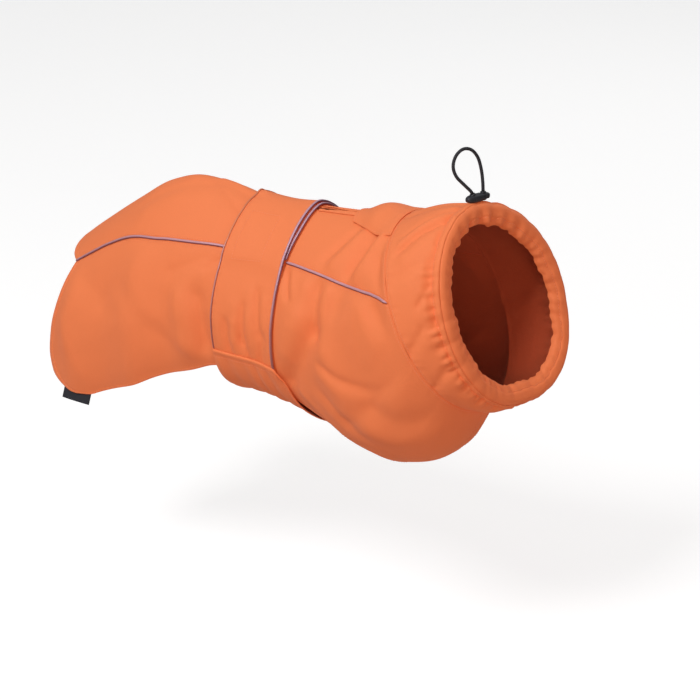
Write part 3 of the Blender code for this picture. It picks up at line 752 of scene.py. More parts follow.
def stitches(path, surface, sizes):
    """A row of stitches along a path: each a short thread, thickest at its middle, its ends in the cloth.

    A stitch is three rings of six points between two end points, carried from each place to the next.
    """
    pitch, length = sizes.stitch_pitch * PER_METRE, sizes.stitch_length * PER_METRE
    thick = sizes.thread * PER_METRE
    places, way = settle(evenly(path, pitch), surface)
    ahead = unit(np.diff(places, axis=0))
    start, way = places[:-1], unit(way[:-1] + way[1:])
    side = unit(np.cross(ahead, way))
    turn = np.arange(6) * math.pi / 3
    share = np.array([0.16, 0.5, 0.84])
    radius = thick / 2 * np.array([0.72, 1.0, 0.72])
    rise = thick * np.array([0.12, 0.34, 0.12])
    middle = start[:, None] + ahead[:, None] * (share * length)[None, :, None]
    middle = middle + way[:, None] * rise[None, :, None]
    turn, radius = turn[None, None, :, None], radius[None, :, None, None]
    sideways, upwards = side[:, None, None] * np.cos(turn), way[:, None, None] * np.sin(turn)
    ring = middle[:, :, None] + sideways * radius + upwards * radius
    ends = np.stack([start - way * thick * 0.3, start + ahead * length - way * thick * 0.3], axis=1)
    vertices = np.concatenate([ring.reshape(len(start), 18, 3), ends], axis=1)
    quads, caps = closed_faces(3, 6)
    first = (np.arange(len(start)) * 20)[:, None, None]
    quads, caps = (quads[None] + first).reshape(-1, 4), (caps[None] + first).reshape(-1, 3)
    return vertices.reshape(-1, 3), quads, caps, np.zeros((len(start) * 20, 2))


# ---------------------------------------------------------------- materials


def add_node(tree, kind, **values):
    """A node with its settings, and its inputs by name."""
    made = tree.nodes.new(kind)
    for name, value in values.items():
        if hasattr(made, name):
            setattr(made, name, value)
        else:
            made.inputs[name].default_value = value
    return made


def maths(tree, operation, first, second=None, clamp=False):
    """A Math node fed by sockets or plain numbers."""
    made = tree.nodes.new("ShaderNodeMath")
    made.operation = operation
    made.use_clamp = clamp
    for slot, value in ((0, first), (1, second)):
        if value is None:
            continue
        if isinstance(value, (int, float)):
            made.inputs[slot].default_value = value
        else:
            tree.links.new(value, made.inputs[slot])
    return made.outputs[0]


def blend_colour(tree, factor, first, second):
    """A Mix node for two colours, sockets or plain."""
    made = tree.nodes.new("ShaderNodeMix")
    made.data_type = "RGBA"
    for name, kind, value in (("Factor", "VALUE", factor), ("A", "RGBA", first), ("B", "RGBA", second)):
        slot = next(s for s in made.inputs if s.name == name and s.type == kind)
        if isinstance(value, (int, float, tuple)):
            slot.default_value = value
        else:
            tree.links.new(value, slot)
    return next(s for s in made.outputs if s.type == "RGBA")


def start_group(name, inputs, outputs):
    """An empty shader group with named sockets."""
    group = bpy.data.node_groups.new(name, "ShaderNodeTree")
    kinds = {"colour": "NodeSocketColor", "value": "NodeSocketFloat"}
    for label, kind, default in inputs:
        made = group.interface.new_socket(label, in_out="INPUT", socket_type=kinds[kind])
        made.default_value = default
    for label, kind in outputs:
        group.interface.new_socket(label, in_out="OUTPUT", socket_type=kinds[kind])
    return group, group.nodes.new("NodeGroupInput"), group.nodes.new("NodeGroupOutput")


def cloth_group():
    """Softshell: a weave of sin(u) * sin(v) at a pitch, a soft drift of colour, and a brushed inside by the
    lining mask.
    """
    group, given, result = start_group(
        "softshell_cloth",
        [("Outside", "colour", (0.8, 0.2, 0.1, 1)), ("Inside", "colour", (0.5, 0.1, 0.05, 1)),
         ("Painted glow colour", "colour", (1, 0.12, 0.02, 1)), ("Weave pitch", "value", 0.0007),
         ("Drift", "value", 0.06)],
        [("Colour", "colour"), ("Roughness", "value"), ("Height", "value"), ("Painted glow", "colour")])
    links = group.links
    uv = add_node(group, "ShaderNodeUVMap", uv_map="UVMap")
    split = group.nodes.new("ShaderNodeSeparateXYZ")
    links.new(uv.outputs[0], split.inputs[0])
    scale = maths(group, "DIVIDE", 2 * math.pi, given.outputs["Weave pitch"])
    warp = maths(group, "SINE", maths(group, "MULTIPLY", split.outputs[0], scale))
    weft = maths(group, "SINE", maths(group, "MULTIPLY", split.outputs[1], scale))
    weave = maths(group, "MULTIPLY", warp, weft)
    place = group.nodes.new("ShaderNodeTexCoord")
    drift = add_node(group, "ShaderNodeTexNoise", **{"Scale": 14.0, "Detail": 3.0, "Roughness": 0.55})
    fine = add_node(group, "ShaderNodeTexNoise", **{"Scale": 900.0, "Detail": 2.0, "Roughness": 0.6})
    fleece = add_node(group, "ShaderNodeTexNoise", **{"Scale": 260.0, "Detail": 3.0, "Roughness": 0.7})
    for noise in (drift, fine, fleece):
        links.new(place.outputs["Object"], noise.inputs["Vector"])
    mask = add_node(group, "ShaderNodeAttribute", attribute_name="lining")
    # The inside's darker colour is partly its brushed face's own duller tone and partly painted shade,
    # standing in for the shade the wearer's body would cast inside.
    plain = blend_colour(group, mask.outputs["Fac"], given.outputs["Outside"], given.outputs["Inside"])
    shift = maths(group, "SUBTRACT", drift.outputs[0], 0.5)
    shift = maths(group, "MULTIPLY", shift, given.outputs["Drift"])
    grain = maths(group, "MULTIPLY", maths(group, "SUBTRACT", fine.outputs[0], 0.5), 0.10)
    light = maths(group, "ADD", maths(group, "ADD", shift, grain), 1.0)
    shade = maths(group, "ADD", maths(group, "MULTIPLY", weave, 0.02), light)
    vary = add_node(group, "ShaderNodeHueSaturation")
    links.new(plain, vary.inputs["Color"])
    links.new(shade, vary.inputs["Value"])
    links.new(vary.outputs[0], result.inputs["Colour"])
    rough = maths(group, "ADD", maths(group, "MULTIPLY", fine.outputs[0], 0.10), 0.60)
    links.new(maths(group, "ADD", rough, maths(group, "MULTIPLY", mask.outputs["Fac"], 0.2), True),
              result.inputs["Roughness"])
    # Painted glow: a constant emitted red on the outside, none on the lining, lifting the cloth's red in lit
    # and shaded places alike.
    links.new(blend_colour(group, mask.outputs["Fac"], given.outputs["Painted glow colour"], (0, 0, 0, 1)),
              result.inputs["Painted glow"])
    napped = maths(group, "MULTIPLY", fleece.outputs[0], maths(group, "MULTIPLY", mask.outputs["Fac"], 5.0))
    coarse = maths(group, "MULTIPLY", weave, 0.5)
    grainy = maths(group, "ADD", coarse, maths(group, "MULTIPLY", fine.outputs[0], 0.8))
    links.new(maths(group, "ADD", grainy, napped), result.inputs["Height"])
    return group


def thread_group():
    """Twisted or braided yarn: two sets of slanting sine lines on its UV, with u along and v round."""
    group, given, result = start_group(
        "twisted_yarn",
        [("Colour", "colour", (0.5, 0.5, 0.5, 1)), ("Pitch", "value", 0.002), ("Turns", "value", 4.0),
         ("Contrast", "value", 0.3)],
        [("Colour", "colour"), ("Height", "value")])
    links = group.links
    uv = add_node(group, "ShaderNodeUVMap", uv_map="UVMap")
    split = group.nodes.new("ShaderNodeSeparateXYZ")
    links.new(uv.outputs[0], split.inputs[0])
    along = maths(group, "MULTIPLY", split.outputs[0],
                  maths(group, "DIVIDE", 2 * math.pi, given.outputs["Pitch"]))
    about = maths(group, "MULTIPLY", split.outputs[1],
                  maths(group, "MULTIPLY", given.outputs["Turns"], 2 * math.pi))
    one = maths(group, "SINE", maths(group, "ADD", along, about))
    other = maths(group, "SINE", maths(group, "SUBTRACT", along, about))
    braid = maths(group, "MULTIPLY", maths(group, "ADD", one, other), 0.5)
    shade = maths(group, "ADD", maths(group, "MULTIPLY", braid, given.outputs["Contrast"]), 1.0)
    vary = add_node(group, "ShaderNodeHueSaturation")
    links.new(given.outputs["Colour"], vary.inputs["Color"])
    links.new(shade, vary.inputs["Value"])
    links.new(vary.outputs[0], result.inputs["Colour"])
    links.new(braid, result.inputs["Height"])
    return group


def group_once(name, maker):
    """The group of that name, made the first time."""
    return bpy.data.node_groups.get(name) or maker()


def start_material(name):
    """A new material with its node tree and shader; one that exists is returned with None for both."""
    made = bpy.data.materials.get(name)
    if made:
        return made, None, None
    made = bpy.data.materials.new(name)
    made.use_nodes = True
    tree = made.node_tree
    return made, tree, tree.nodes["Principled BSDF"]


def add_bump(tree, surface, height, distance):
    """A Bump node from a height to the shader's Normal."""
    bump = add_node(tree, "ShaderNodeBump", **{"Distance": distance})
    tree.links.new(height, bump.inputs["Height"])
    tree.links.new(bump.outputs[0], surface.inputs["Normal"])


def yarn_node(tree, colour, pitch, turns, contrast):
    """The yarn group in a material, with its settings."""
    yarn = tree.nodes.new("ShaderNodeGroup")
    yarn.node_tree = group_once("twisted_yarn", thread_group)
    values = {"Colour": (*colour, 1), "Pitch": pitch, "Turns": turns, "Contrast": contrast}
    for name, value in values.items():
        yarn.inputs[name].default_value = value
    return yarn


def cloth_material(colours):
    """Matte softshell with a soft sheen, brushed inside; a painted red glow from its emission lifts its red
    in lit and shaded places alike.
    """
    made, tree, surface = start_material("softshell")
    if tree is None:
        return made
    weave = tree.nodes.new("ShaderNodeGroup")
    weave.node_tree = group_once("softshell_cloth", cloth_group)
    weave.inputs["Outside"].default_value = (*colours.cloth, 1)
    weave.inputs["Inside"].default_value = (*colours.lining, 1)
    tree.links.new(weave.outputs["Colour"], surface.inputs["Base Color"])
    tree.links.new(weave.outputs["Roughness"], surface.inputs["Roughness"])
    tree.links.new(weave.outputs["Painted glow"], surface.inputs["Emission Color"])
    # Painted glow: the cloth emits this much of its glow colour, which shows most in the shade.
    surface.inputs["Emission Strength"].default_value = 0.19
    surface.inputs["Sheen Weight"].default_value = 0.18
    surface.inputs["Sheen Roughness"].default_value = 0.45
    surface.inputs["Sheen Tint"].default_value = (1.0, 0.55, 0.40, 1)
    surface.inputs["Specular IOR Level"].default_value = 0.28
    add_bump(tree, surface, weave.outputs["Height"], 0.00006)
    return made


def yarn_material(name, colour, pitch, turns, contrast, roughness, distance=0.0001):
    """Yarn, cord or tape with a braid on its own UV."""
    made, tree, surface = start_material(name)
    if tree is None:
        return made
    yarn = yarn_node(tree, colour, pitch, turns, contrast)
    tree.links.new(yarn.outputs["Colour"], surface.inputs["Base Color"])
    surface.inputs["Roughness"].default_value = roughness
    add_bump(tree, surface, yarn.outputs["Height"], distance)
    return made


def piping_material(colours):
    """Reflective piping: a pale ridge with painted shade on its underside, its colour mixed towards the
    cloth's along parts of each piping.
    """
    made, tree, surface = start_material("piping_sheen")
    if tree is None:
        return made
    yarn = yarn_node(tree, colours.piping, 0.0011, 9.0, 0.08)
    painted_underside_shade = add_node(tree, "ShaderNodeAttribute", attribute_name="painted_underside_shade")
    # How far the piping's colour is mixed towards the cloth's colour, given for each place along it.
    cloth_mix = add_node(tree, "ShaderNodeAttribute", attribute_name="cloth_mix")
    # Painted shade: the cord's underside takes the dark shade colour.
    with_painted_shade = blend_colour(tree, painted_underside_shade.outputs["Fac"], yarn.outputs["Colour"], (*colours.piping_painted_shade, 1))
    toward_cloth = blend_colour(tree, cloth_mix.outputs["Fac"], with_painted_shade, (*colours.cloth, 1))
    tree.links.new(toward_cloth, surface.inputs["Base Color"])
    surface.inputs["Roughness"].default_value = 0.42
    surface.inputs["Metallic"].default_value = 0.15
    add_bump(tree, surface, yarn.outputs["Height"], 0.00004)
    return made


def plastic_material(colours):
    """Dark moulded plastic with a fine spark-eroded grain."""
    made, tree, surface = start_material("moulded_plastic")
    if tree is None:
        return made
    place = tree.nodes.new("ShaderNodeTexCoord")
    grain = add_node(tree, "ShaderNodeTexNoise", **{"Scale": 2200.0, "Detail": 2.0})
    tree.links.new(place.outputs["Object"], grain.inputs["Vector"])
    tint = blend_colour(tree, grain.outputs[0], (*[c * 0.8 for c in colours.black], 1),
                        (*[c * 1.3 for c in colours.black], 1))
    tree.links.new(tint, surface.inputs["Base Color"])
    rough = maths(tree, "ADD", maths(tree, "MULTIPLY", grain.outputs[0], 0.15), 0.36)
    tree.links.new(rough, surface.inputs["Roughness"])
    add_bump(tree, surface, grain.outputs[0], 0.00004)
    return made


# ---------------------------------------------------------------- settings


class CoatSizes(bpy.types.PropertyGroup):
    """Sizes that a user would change."""

    thickness: bpy.props.FloatProperty(
        name="Cloth thickness", description="Thickness of one layer of cloth",
        default=0.0014, unit="LENGTH")
    lip: bpy.props.FloatProperty(
        name="Facing thickness", description="Thickness of the facing inside the neck opening",
        default=0.0014, unit="LENGTH")
    piping: bpy.props.FloatProperty(
        name="Piping width", description="Breadth of the piping cord",
        default=0.0029, unit="LENGTH")
    piping_height: bpy.props.FloatProperty(
        name="Piping height", description="Height of the piping cord",
        default=0.0022, unit="LENGTH")
    cord: bpy.props.FloatProperty(
        name="Cord diameter", description="Diameter of the elastic cord",
        default=0.003, unit="LENGTH")
    stitch_pitch: bpy.props.FloatProperty(
        name="Stitch pitch", description="From one stitch to the next",
        default=0.0030, unit="LENGTH")
    stitch_length: bpy.props.FloatProperty(
        name="Stitch length", description="Length of thread that shows",
        default=0.0024, unit="LENGTH")
    thread: bpy.props.FloatProperty(
        name="Thread thickness", description="Thickness of the sewing thread",
        default=0.0005, unit="LENGTH")


class CoatColours(bpy.types.PropertyGroup):
    """Colours that a user would change."""

    cloth: bpy.props.FloatVectorProperty(
        name="Cloth", description="Outside of the cloth",
        default=(0.71, 0.212, 0.079), subtype="COLOR")
    # Darker than the outside: partly the brushed face's own duller tone, partly painted shade for the
    # wearer's body.
    lining: bpy.props.FloatVectorProperty(
        name="Inside", description="Brushed inside of the cloth",
        default=(0.50, 0.085, 0.03), subtype="COLOR")
    thread: bpy.props.FloatVectorProperty(
        name="Thread", description="Sewing thread",
        default=(0.92, 0.30, 0.14), subtype="COLOR")
    piping: bpy.props.FloatVectorProperty(
        name="Piping", description="Reflective piping",
        default=(0.58, 0.36, 0.46), subtype="COLOR")
    # Painted shade: the colour given to the underside of the piping.
    piping_painted_shade: bpy.props.FloatVectorProperty(
        name="Piping painted shade", description="Painted shade on the piping's underside",
        default=(0.16, 0.065, 0.125), subtype="COLOR")
    black: bpy.props.FloatVectorProperty(
        name="Lock", description="Cord lock, cord and label",
        default=(0.020, 0.022, 0.030), subtype="COLOR")


def settings():
    """The sizes and the colours of the scene."""
    return bpy.context.scene.coat_sizes, bpy.context.scene.coat_colours


def finish_piece(thing, material, slot, *nodes):
    """Gives a piece its material, its body and the CAD nodes that it stands for; slot is not used."""
    thing.data.materials.clear()
    thing.data.materials.append(material)
    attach(thing, "root")
    if nodes:
        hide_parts(*nodes)
    return thing


def declare_cloth(mid):
    """Works out the piece's cut, its longest run each way and the area of the grid that it was made on, but
    neither keeps nor returns it.
    """
    across, along = arc(mid, 1)[:, -1].max(), arc(mid, 0)[-1].max()
    one = np.cross(mid[1:, :-1] - mid[:-1, :-1], mid[:-1, 1:] - mid[:-1, :-1])
    two = np.cross(mid[1:, 1:] - mid[1:, :-1], mid[1:, 1:] - mid[:-1, 1:])
    area = (np.linalg.norm(one, axis=-1).sum() + np.linalg.norm(two, axis=-1).sum()) / 2
    area = min(area, across * along)


# The outside of each cloth piece, for the stitches that lie on it
OUTSIDES = {}


def cut_and_sew(key, mid, edges, node, held, rests_on, thickness=None, **finish):
    """One cloth piece from its grid: its wall, material, body and CAD node; the sizes of its cut are worked
    out but not kept.
    """
    sizes, colours = settings()
    thickness = thickness or sizes.thickness * PER_METRE
    thing, OUTSIDES[key] = cloth(key + "_cloth", mid, edges, thickness, **finish)
    finish_piece(thing, cloth_material(colours), "softshell_cloth", node)
    whole = np.concatenate([mid, mid[:, :1]], axis=1) if finish.get("closed") else mid
    declare_cloth(whole)


# ---------------------------------------------------------------- the pieces


def slit_half(station):
    """Half the slit's opening: a narrow slit, and a gape that falls off by exp(-(distance/15)^2)."""
    return SLIT_HALF + SLIT_GAPE * bell(station, SLIT_WIDEST, 15)


def back_grid():
    """Stations and shares of the back panel, with its middle column.

    Rows run from the rear edge to the neck and columns from right to left. The slit bends the middle
    columns aside, by (1 - distance)^2.
    """
    half = spread(np.linspace(0, 1, 30), 72, (), DIP_MM)
    across = np.concatenate([-half[::-1], half])
    rows = spread(row_places(175), 400, HEM_MM, EDGE_MM)
    rear = smooth(BACK_EDGE, np.abs(across))[:, 0]
    station = rear + (NECK - rear) * rows[:, None]
    side = np.where(np.arange(len(across)) < len(half), -1.0, 1.0)
    gape = slit_half(station) / GIRTH
    middle = SLIT_SHIFT * ease((station - 20) / 20) * ease((118 - station) / 20)
    share = side * (gape + np.abs(across) * (side_seam(station) - gape))
    share = share + middle * (1 - np.abs(across)) ** 2
    return station, share, len(half) - 1


def side_grid(side):
    """Stations and shares of a side panel: rows from the rear edge to the neck, columns right to left."""
    down = spread(np.linspace(0, 1, 72), 150, DIP_MM, HEM_MM)
    rows = spread(row_places(185), 400, HEM_MM, EDGE_MM)
    rear = smooth(SIDE_EDGE, down)[:, 0]
    station = rear + (NECK - rear) * rows[:, None]
    top, bottom = side_seam(station), hem_share(station)
    share = side * (top + (bottom - top) * down)
    return station[:, ::side], share[:, ::side]


def wing_lift(share, over):
    """How far a wing lies out: one layer, or two where the upper wing crosses the lower one."""
    if not over:
        return LAYER + 0 * share
    return LAYER * (1 + ease((share - UNDER_END + LAP_RAMP) / LAP_RAMP))


def under_front(share):
    """Station of the lower wing's front edge, just in front of the upper wing's and drawing away from it."""
    return BELT_FRONT + 0.8 + 2.4 * ease((share - UNDER_END) / 0.14) + 2.3 * ease((share - 0.05) / 0.2)


def wing_grid(over):
    """Stations, shares and lift of a belt wing."""
    start, end = (-WING_START, OVER_END) if over else (UNDER_END, WING_START)
    places = spread(np.linspace(0, 1, 125), (end - start) * GIRTH, EDGE_MM, EDGE_MM)
    share = start + (end - start) * places
    rear, front = (BELT_REAR, BELT_FRONT) if over else (UNDER_REAR, under_front(share))
    rows = spread(np.linspace(0, 1, 34), 70, DIP_MM, DIP_MM)[:, None]
    station = rear + (front - rear) * rows + 0 * share
    share = np.broadcast_to(share, station.shape)
    return station, share, wing_lift(share, over)


def belly_grid():
    """Stations, shares and lift of the belly panel, with its small ripples below the belt seams."""
    rear, bend, front = BELLY[0][0], BELLY[2][0], BELLY[-1][0]
    parts = (np.linspace(rear, bend, 46), np.linspace(bend, front, 52), rear + np.array(EDGE_MM))
    station = np.unique(np.concatenate(parts))
    across = 2 * spread(np.linspace(0, 1, 70), 170, DIP_MM, DIP_MM) - 1
    edge, lift = smooth(BELLY, station).T[:, :, None]
    side = np.where(across <= 0, -1.0, 1.0)
    share = side * (1 - (1 - edge) * np.abs(across))
    station = np.broadcast_to(station[:, None], share.shape)
    ripple = 1.3 * uneven_wave(station + 26 * share, 17.0, 0.6) * ease((np.abs(across) - 0.15) / 0.4)
    ripple = ripple * ease((62 - station) / 30) * ease((station - rear) / 6)
    ripple = ripple * ease((1 - np.abs(across)) / 0.12)
    return station, share[:, ::-1], (lift + ripple)[:, ::-1]


def collar_rim(share):
    """The rim without gathers: each half of a tilted, slightly turned oval, spaced along its own length."""
    angle = np.linspace(0, math.pi, 721)
    middle, down = np.array(RIM_MIDDLE), np.array(RIM_DOWN)
    halves = []
    for sideways, lower_power in ((RIM_RIGHT, 2.0), (RIM_LEFT, RIM_LEFT_POWER)):
        power = np.where(np.cos(angle) >= 0, 2.0, lower_power)
        out = np.abs(np.sin(angle)) ** (2 / power)
        level = -np.sign(np.cos(angle)) * np.abs(np.cos(angle)) ** (2 / power)
        points = middle + out[:, None] * np.array(sideways) + level[:, None] * down
        length = arc(points[:, None], 0)[:, 0]
        at = np.abs(share) * length[-1]
        halves.append(np.stack([np.interp(at, length, points[:, k]) for k in range(3)], axis=-1))
    return np.where((share < 0)[..., None], halves[0], halves[1])


def gather_wave(share):
    """The rim's gathers: a wandering wave with broad tops and narrow valleys, from the root of a sine."""
    turn = math.pi * share
    s = (1 + np.sin(GATHERS * turn + 0.8 * np.sin(5 * turn + 0.5))) / 2
    deep = 0.70 + 0.30 * np.sin(3 * turn + 1.0)
    return (2 * np.sqrt(s) - 1.27) * deep


def collar_lines(share):
    """The neck seam, the rim, and the way out of the band between them."""
    seam = read(FORMER, np.full(share.shape, float(NECK)), share)
    rim = collar_rim(share)
    both = rim + seam
    out = unit(np.cross(rim - seam, np.roll(both, -1, axis=0) - np.roll(both, 1, axis=0)))
    return seam, rim, out


def collar_share():
    """Shares of the collar's columns, evenly round."""
    return -1 + (np.arange(COLLAR_COLUMNS) + 0.5) * 2 / COLLAR_COLUMNS


def collar_grid():
    """The band from the neck seam to the rim, and what its outside has over it.

    Straight lines are bulged by sin^2. Gathers deepen towards the rim, and fine puckers lie beside its
    casing, lower ones over the nape. A trough runs behind the casing, a raised band with a stitched groove.
    """
    share = collar_share()
    seam, rim, out = collar_lines(share)
    rows = spread(np.linspace(0, 1, 40), COLLAR_DEEP, DIP_MM, EDGE_MM + (2.6, 5.8, 6.4, 6.9, 7.4, 8.2))
    t = rows[:, None, None]
    throat = ease((np.abs(share) - 0.55) / 0.35)[:, None]
    start = seam - unit(rim - seam) * 0.3
    wave = gather_wave(share)[:, None]
    fine = uneven_wave(share * 262, 8.6, 1.1)[:, None]
    beside = 0.35 + 1.25 * ease((np.abs(share) - 0.28) / 0.12)[:, None]
    beside = beside * bell(t, 0.79, 0.13)
    gather = wave * (0.6 * GATHER_DEPTH * ease((t - 0.30) / 0.5) + 0.55 * beside) + 0.85 * fine * beside
    creases = crease_sum(rows[:, None], share[None], COLLAR_CREASES, COLLAR_DEEP, COLLAR_ROUND, 0.4)
    creases = creases[..., None] * (1 - ease((t - 0.84) / 0.07))
    bulge = (COLLAR_BULGE + THROAT_BULGE * throat) * np.sin(math.pi * t) ** 2
    trough = -2.7 * bell(t, 0.865, 0.045) * (0.75 + 0.25 * wave)
    lift = 0.6 + 0.9 * ease(t * 14) + bulge + gather + trough + creases
    mid = start + (rim - start) * t + out * lift
    from_rim = arc(mid, 0)[-1:] - arc(mid, 0)
    band = 1 - ease((from_rim - 6.6) / 0.9)
    extra = 0.75 * band - 0.5 * bell(from_rim, CASING_STITCH, 0.5)
    puckers = uneven_wave(share[None] * 260, 6.0, 0.3)
    extra += 0.20 * puckers * bell(from_rim, CASING_STITCH, 3.5)
    return mid, extra


def facing_grid():
    """The lip turned in at the rim: a rounded section carried round it, ruffled towards its inner edge."""
    share = collar_share()
    _, plain, out = collar_lines(share)
    rim = plain + out * (0.6 * GATHER_DEPTH * gather_wave(share) + 1.2)[:, None]
    forward = unit(np.cross(np.array(RIM_LEFT), -np.array(RIM_DOWN)))
    inward = unit(np.array(RIM_MIDDLE) - plain)
    section = np.array(LIP_PROFILE)
    run = arc(section[:, None], 0)[:, 0]
    at = spread(np.linspace(0, 1, 22), run[-1], EDGE_MM, EDGE_MM + (9.6, FACING_STITCH, 10.8)) * run[-1]
    profile = smooth(np.column_stack([run, section]), at)
    into = ease(at / run[-1])[:, None]
    turn = math.pi * share
    nape = bell(share, 0, 0.16)
    ruffle = 0.55 * np.sin(43 * turn + 1.5 * np.sin(7 * turn)) + 0.5 * np.sin(19 * turn + 1)
    ruffle = into * (ruffle + 3.0 * nape * np.sin(30 * turn + 0.4))
    breadth = profile[:, :1] * (1 + 0.05 * into * np.sin(11 * turn + 0.5))
    breadth = breadth + 0.45 * into * np.sin(51 * turn)
    mid = rim + inward * breadth[..., None] + forward * (profile[:, 1:] + ruffle)[..., None]
    from_inner = arc(mid, 0)[-1:] - arc(mid, 0)
    return mid, -0.35 * bell(from_inner, FACING_STITCH, 0.6)


def flap_grid():
    """The lead flap: flat at its edges, domed by (1 - a^2) sin^2 in the middle, caught in the neck seam."""
    across = 2 * spread(np.linspace(0, 1, 44), 60, EDGE_MM + (3.0,), EDGE_MM + (3.0,)) - 1
    t = spread(np.linspace(0, 1, 36), 55, EDGE_MM + (3.0,), EDGE_MM)[:, None]
    rear = FLAP_REAR + FLAP_CORNER * np.abs(across) ** 4
    station = rear + (NECK - rear) * t
    share = across * (FLAP_HALF_REAR + (FLAP_HALF_FRONT - FLAP_HALF_REAR) * t**1.25)
    dome = FLAP_RISE * (1 - across**2) * np.sin(math.pi * np.clip(0.95 * t, 0, 1)) ** 2
    curl = 0.7 * bell(t, 0, 0.12) * (0.4 + 0.6 * np.cos(3 * across + 0.8))
    base = 2.75 - 0.9 * ease((t - 0.93) / 0.07)
    return body(station, share, base + dome + curl, False)


def piping_path(station, share, lift):
    """Places and ways out along a piping."""
    station, share = np.broadcast_arrays(np.asarray(station, float), np.asarray(share, float))
    low = body(station, share, lift)
    return low, read(FORMER_OUT, station, share)


def cord_line(count):
    """Evenly spaced places on a smooth curve (Catmull-Rom) through the loop's route."""
    route = np.array(LOOP_ROUTE)
    padded = np.vstack([2 * route[0] - route[1], route, 2 * route[-1] - route[-2]])
    t = np.linspace(0, 1, 12, endpoint=False)[:, None]
    a, b, c, d = (padded[k:k + len(route) - 1, None] for k in range(4))
    fine = 0.5 * (2 * b + (c - a) * t + (2 * a - 5 * b + 4 * c - d) * t**2 + (3 * b - a - 3 * c + d) * t**3)
    fine = np.vstack([fine.reshape(-1, 3), route[-1:]])
    run = arc(fine[:, None], 0)[:, 0]
    at = np.linspace(0, run[-1], count)
    return walk(fine, run, at), run[-1]


def lump(middle, size, power, turn, steps):
    """A closed rounded box: each axis is the signed 2/power root of a ball's, with poles on its length."""
    a = np.linspace(0, math.pi, steps[0])[1:-1, None]
    b = (np.arange(steps[1]) * 2 * math.pi / steps[1])[None]

    def root(values):
        return np.sign(values) * np.abs(values) ** (2 / power)

    axes = (root(np.cos(a)), root(np.sin(a)) * root(np.cos(b)), root(np.sin(a)) * root(np.sin(b)))
    ring = np.stack(np.broadcast_arrays(*axes), axis=-1) * np.array(size) / 2
    points = np.concatenate([ring.reshape(-1, 3), [[size[0] / 2, 0, 0], [-size[0] / 2, 0, 0]]])
    c, s = math.cos(math.radians(turn)), math.sin(math.radians(turn))
    points = points @ np.array([[c, s, 0], [-s, c, 0], [0, 0, 1]]) + np.array(middle)
    return points, *closed_faces(steps[0] - 2, steps[1]), np.zeros((len(points), 2))


def merge(first, second, name):
    """Two pieces as one mesh object."""
    joined = bmesh.new()
    joined.from_mesh(first.data)
    joined.from_mesh(second.data)
    joined.to_mesh(first.data)
    joined.free()
    bpy.data.objects.remove(second)
    first.name = first.data.name = name
    return first


def near_edge(outside, row_mm, first):
    """A line on a piece's outside at a distance from its first or last column, one place for each row."""
    run = arc(outside, 1)
    wanted = row_mm if first else run[:, -1:] - row_mm
    index = np.clip((run < wanted).sum(1) - 1, 0, outside.shape[1] - 2)
    rows = np.arange(len(outside))
    low, high = run[rows, index], run[rows, index + 1]
    share = (np.reshape(wanted, -1) - low) / np.maximum(high - low, 1e-9)
    return outside[rows, index] + (outside[rows, index + 1] - outside[rows, index]) * share[:, None]


def near_row(outside, mm, first):
    """The same for the first or last row, one place for each column."""
    return near_edge(np.swapaxes(outside, 0, 1), mm, first)


# ---------------------------------------------------------------- operators


class COAT_OT_back(bpy.types.Operator):
    """Makes the back panel, with the harness slit cut along the spine"""

    bl_idname = "coat.back"
    bl_label = "Back panel"

    def execute(self, context):
        station, share, middle = back_grid()
        mid = body(station, share, PANEL_LIFT)
        slit = np.zeros((mid.shape[0] - 1, mid.shape[1] - 1), bool)
        spine = station[:, middle]
        slit[:, middle] = (spine[:-1] >= SLIT_FROM) & (spine[1:] <= SLIT_TO)
        cut_and_sew("back", mid, ("hem", "seam", "seam", "seam"), "back_panel", "draped",
                    ["side_right_cloth", "side_left_cloth"], left_out=slit)
        return {"FINISHED"}


class COAT_OT_sides(bpy.types.Operator):
    """Makes the two side panels"""

    bl_idname = "coat.sides"
    bl_label = "Side panels"

    def execute(self, context):
        for side, hand in ((-1, "right"), (1, "left")):
            mid = body(*side_grid(side), PANEL_LIFT)
            ends = ("hem", "seam") if side == -1 else ("seam", "hem")
            cut_and_sew("side_" + hand, mid, ("hem", "seam", *ends), "side_panel_" + hand, "draped",
                        ["back_cloth"])
        return {"FINISHED"}


class COAT_OT_belly(bpy.types.Operator):
    """Makes the panel under the body, its upper edges rolled where the belt begins"""

    bl_idname = "coat.belly"
    bl_label = "Belly panel"

    def execute(self, context):
        station, share, lift = belly_grid()
        mid = body(station, share, lift + PANEL_LIFT)
        run = arc(mid, 1)
        from_side = np.minimum(run, run[:, -1:] - run)
        beside_belt = ease((44 - station) / 8)
        roll = 1.1 * bell(from_side, 1.9, 1.7) * beside_belt
        roll = roll - 0.5 * bell(from_side, 5.2, 0.9) * beside_belt
        cut_and_sew("belly", mid, ("plain",) * 4, "belly_panel", "stretched",
                    ["belt_right_cloth", "belt_left_cloth"], extra=roll)
        return {"FINISHED"}


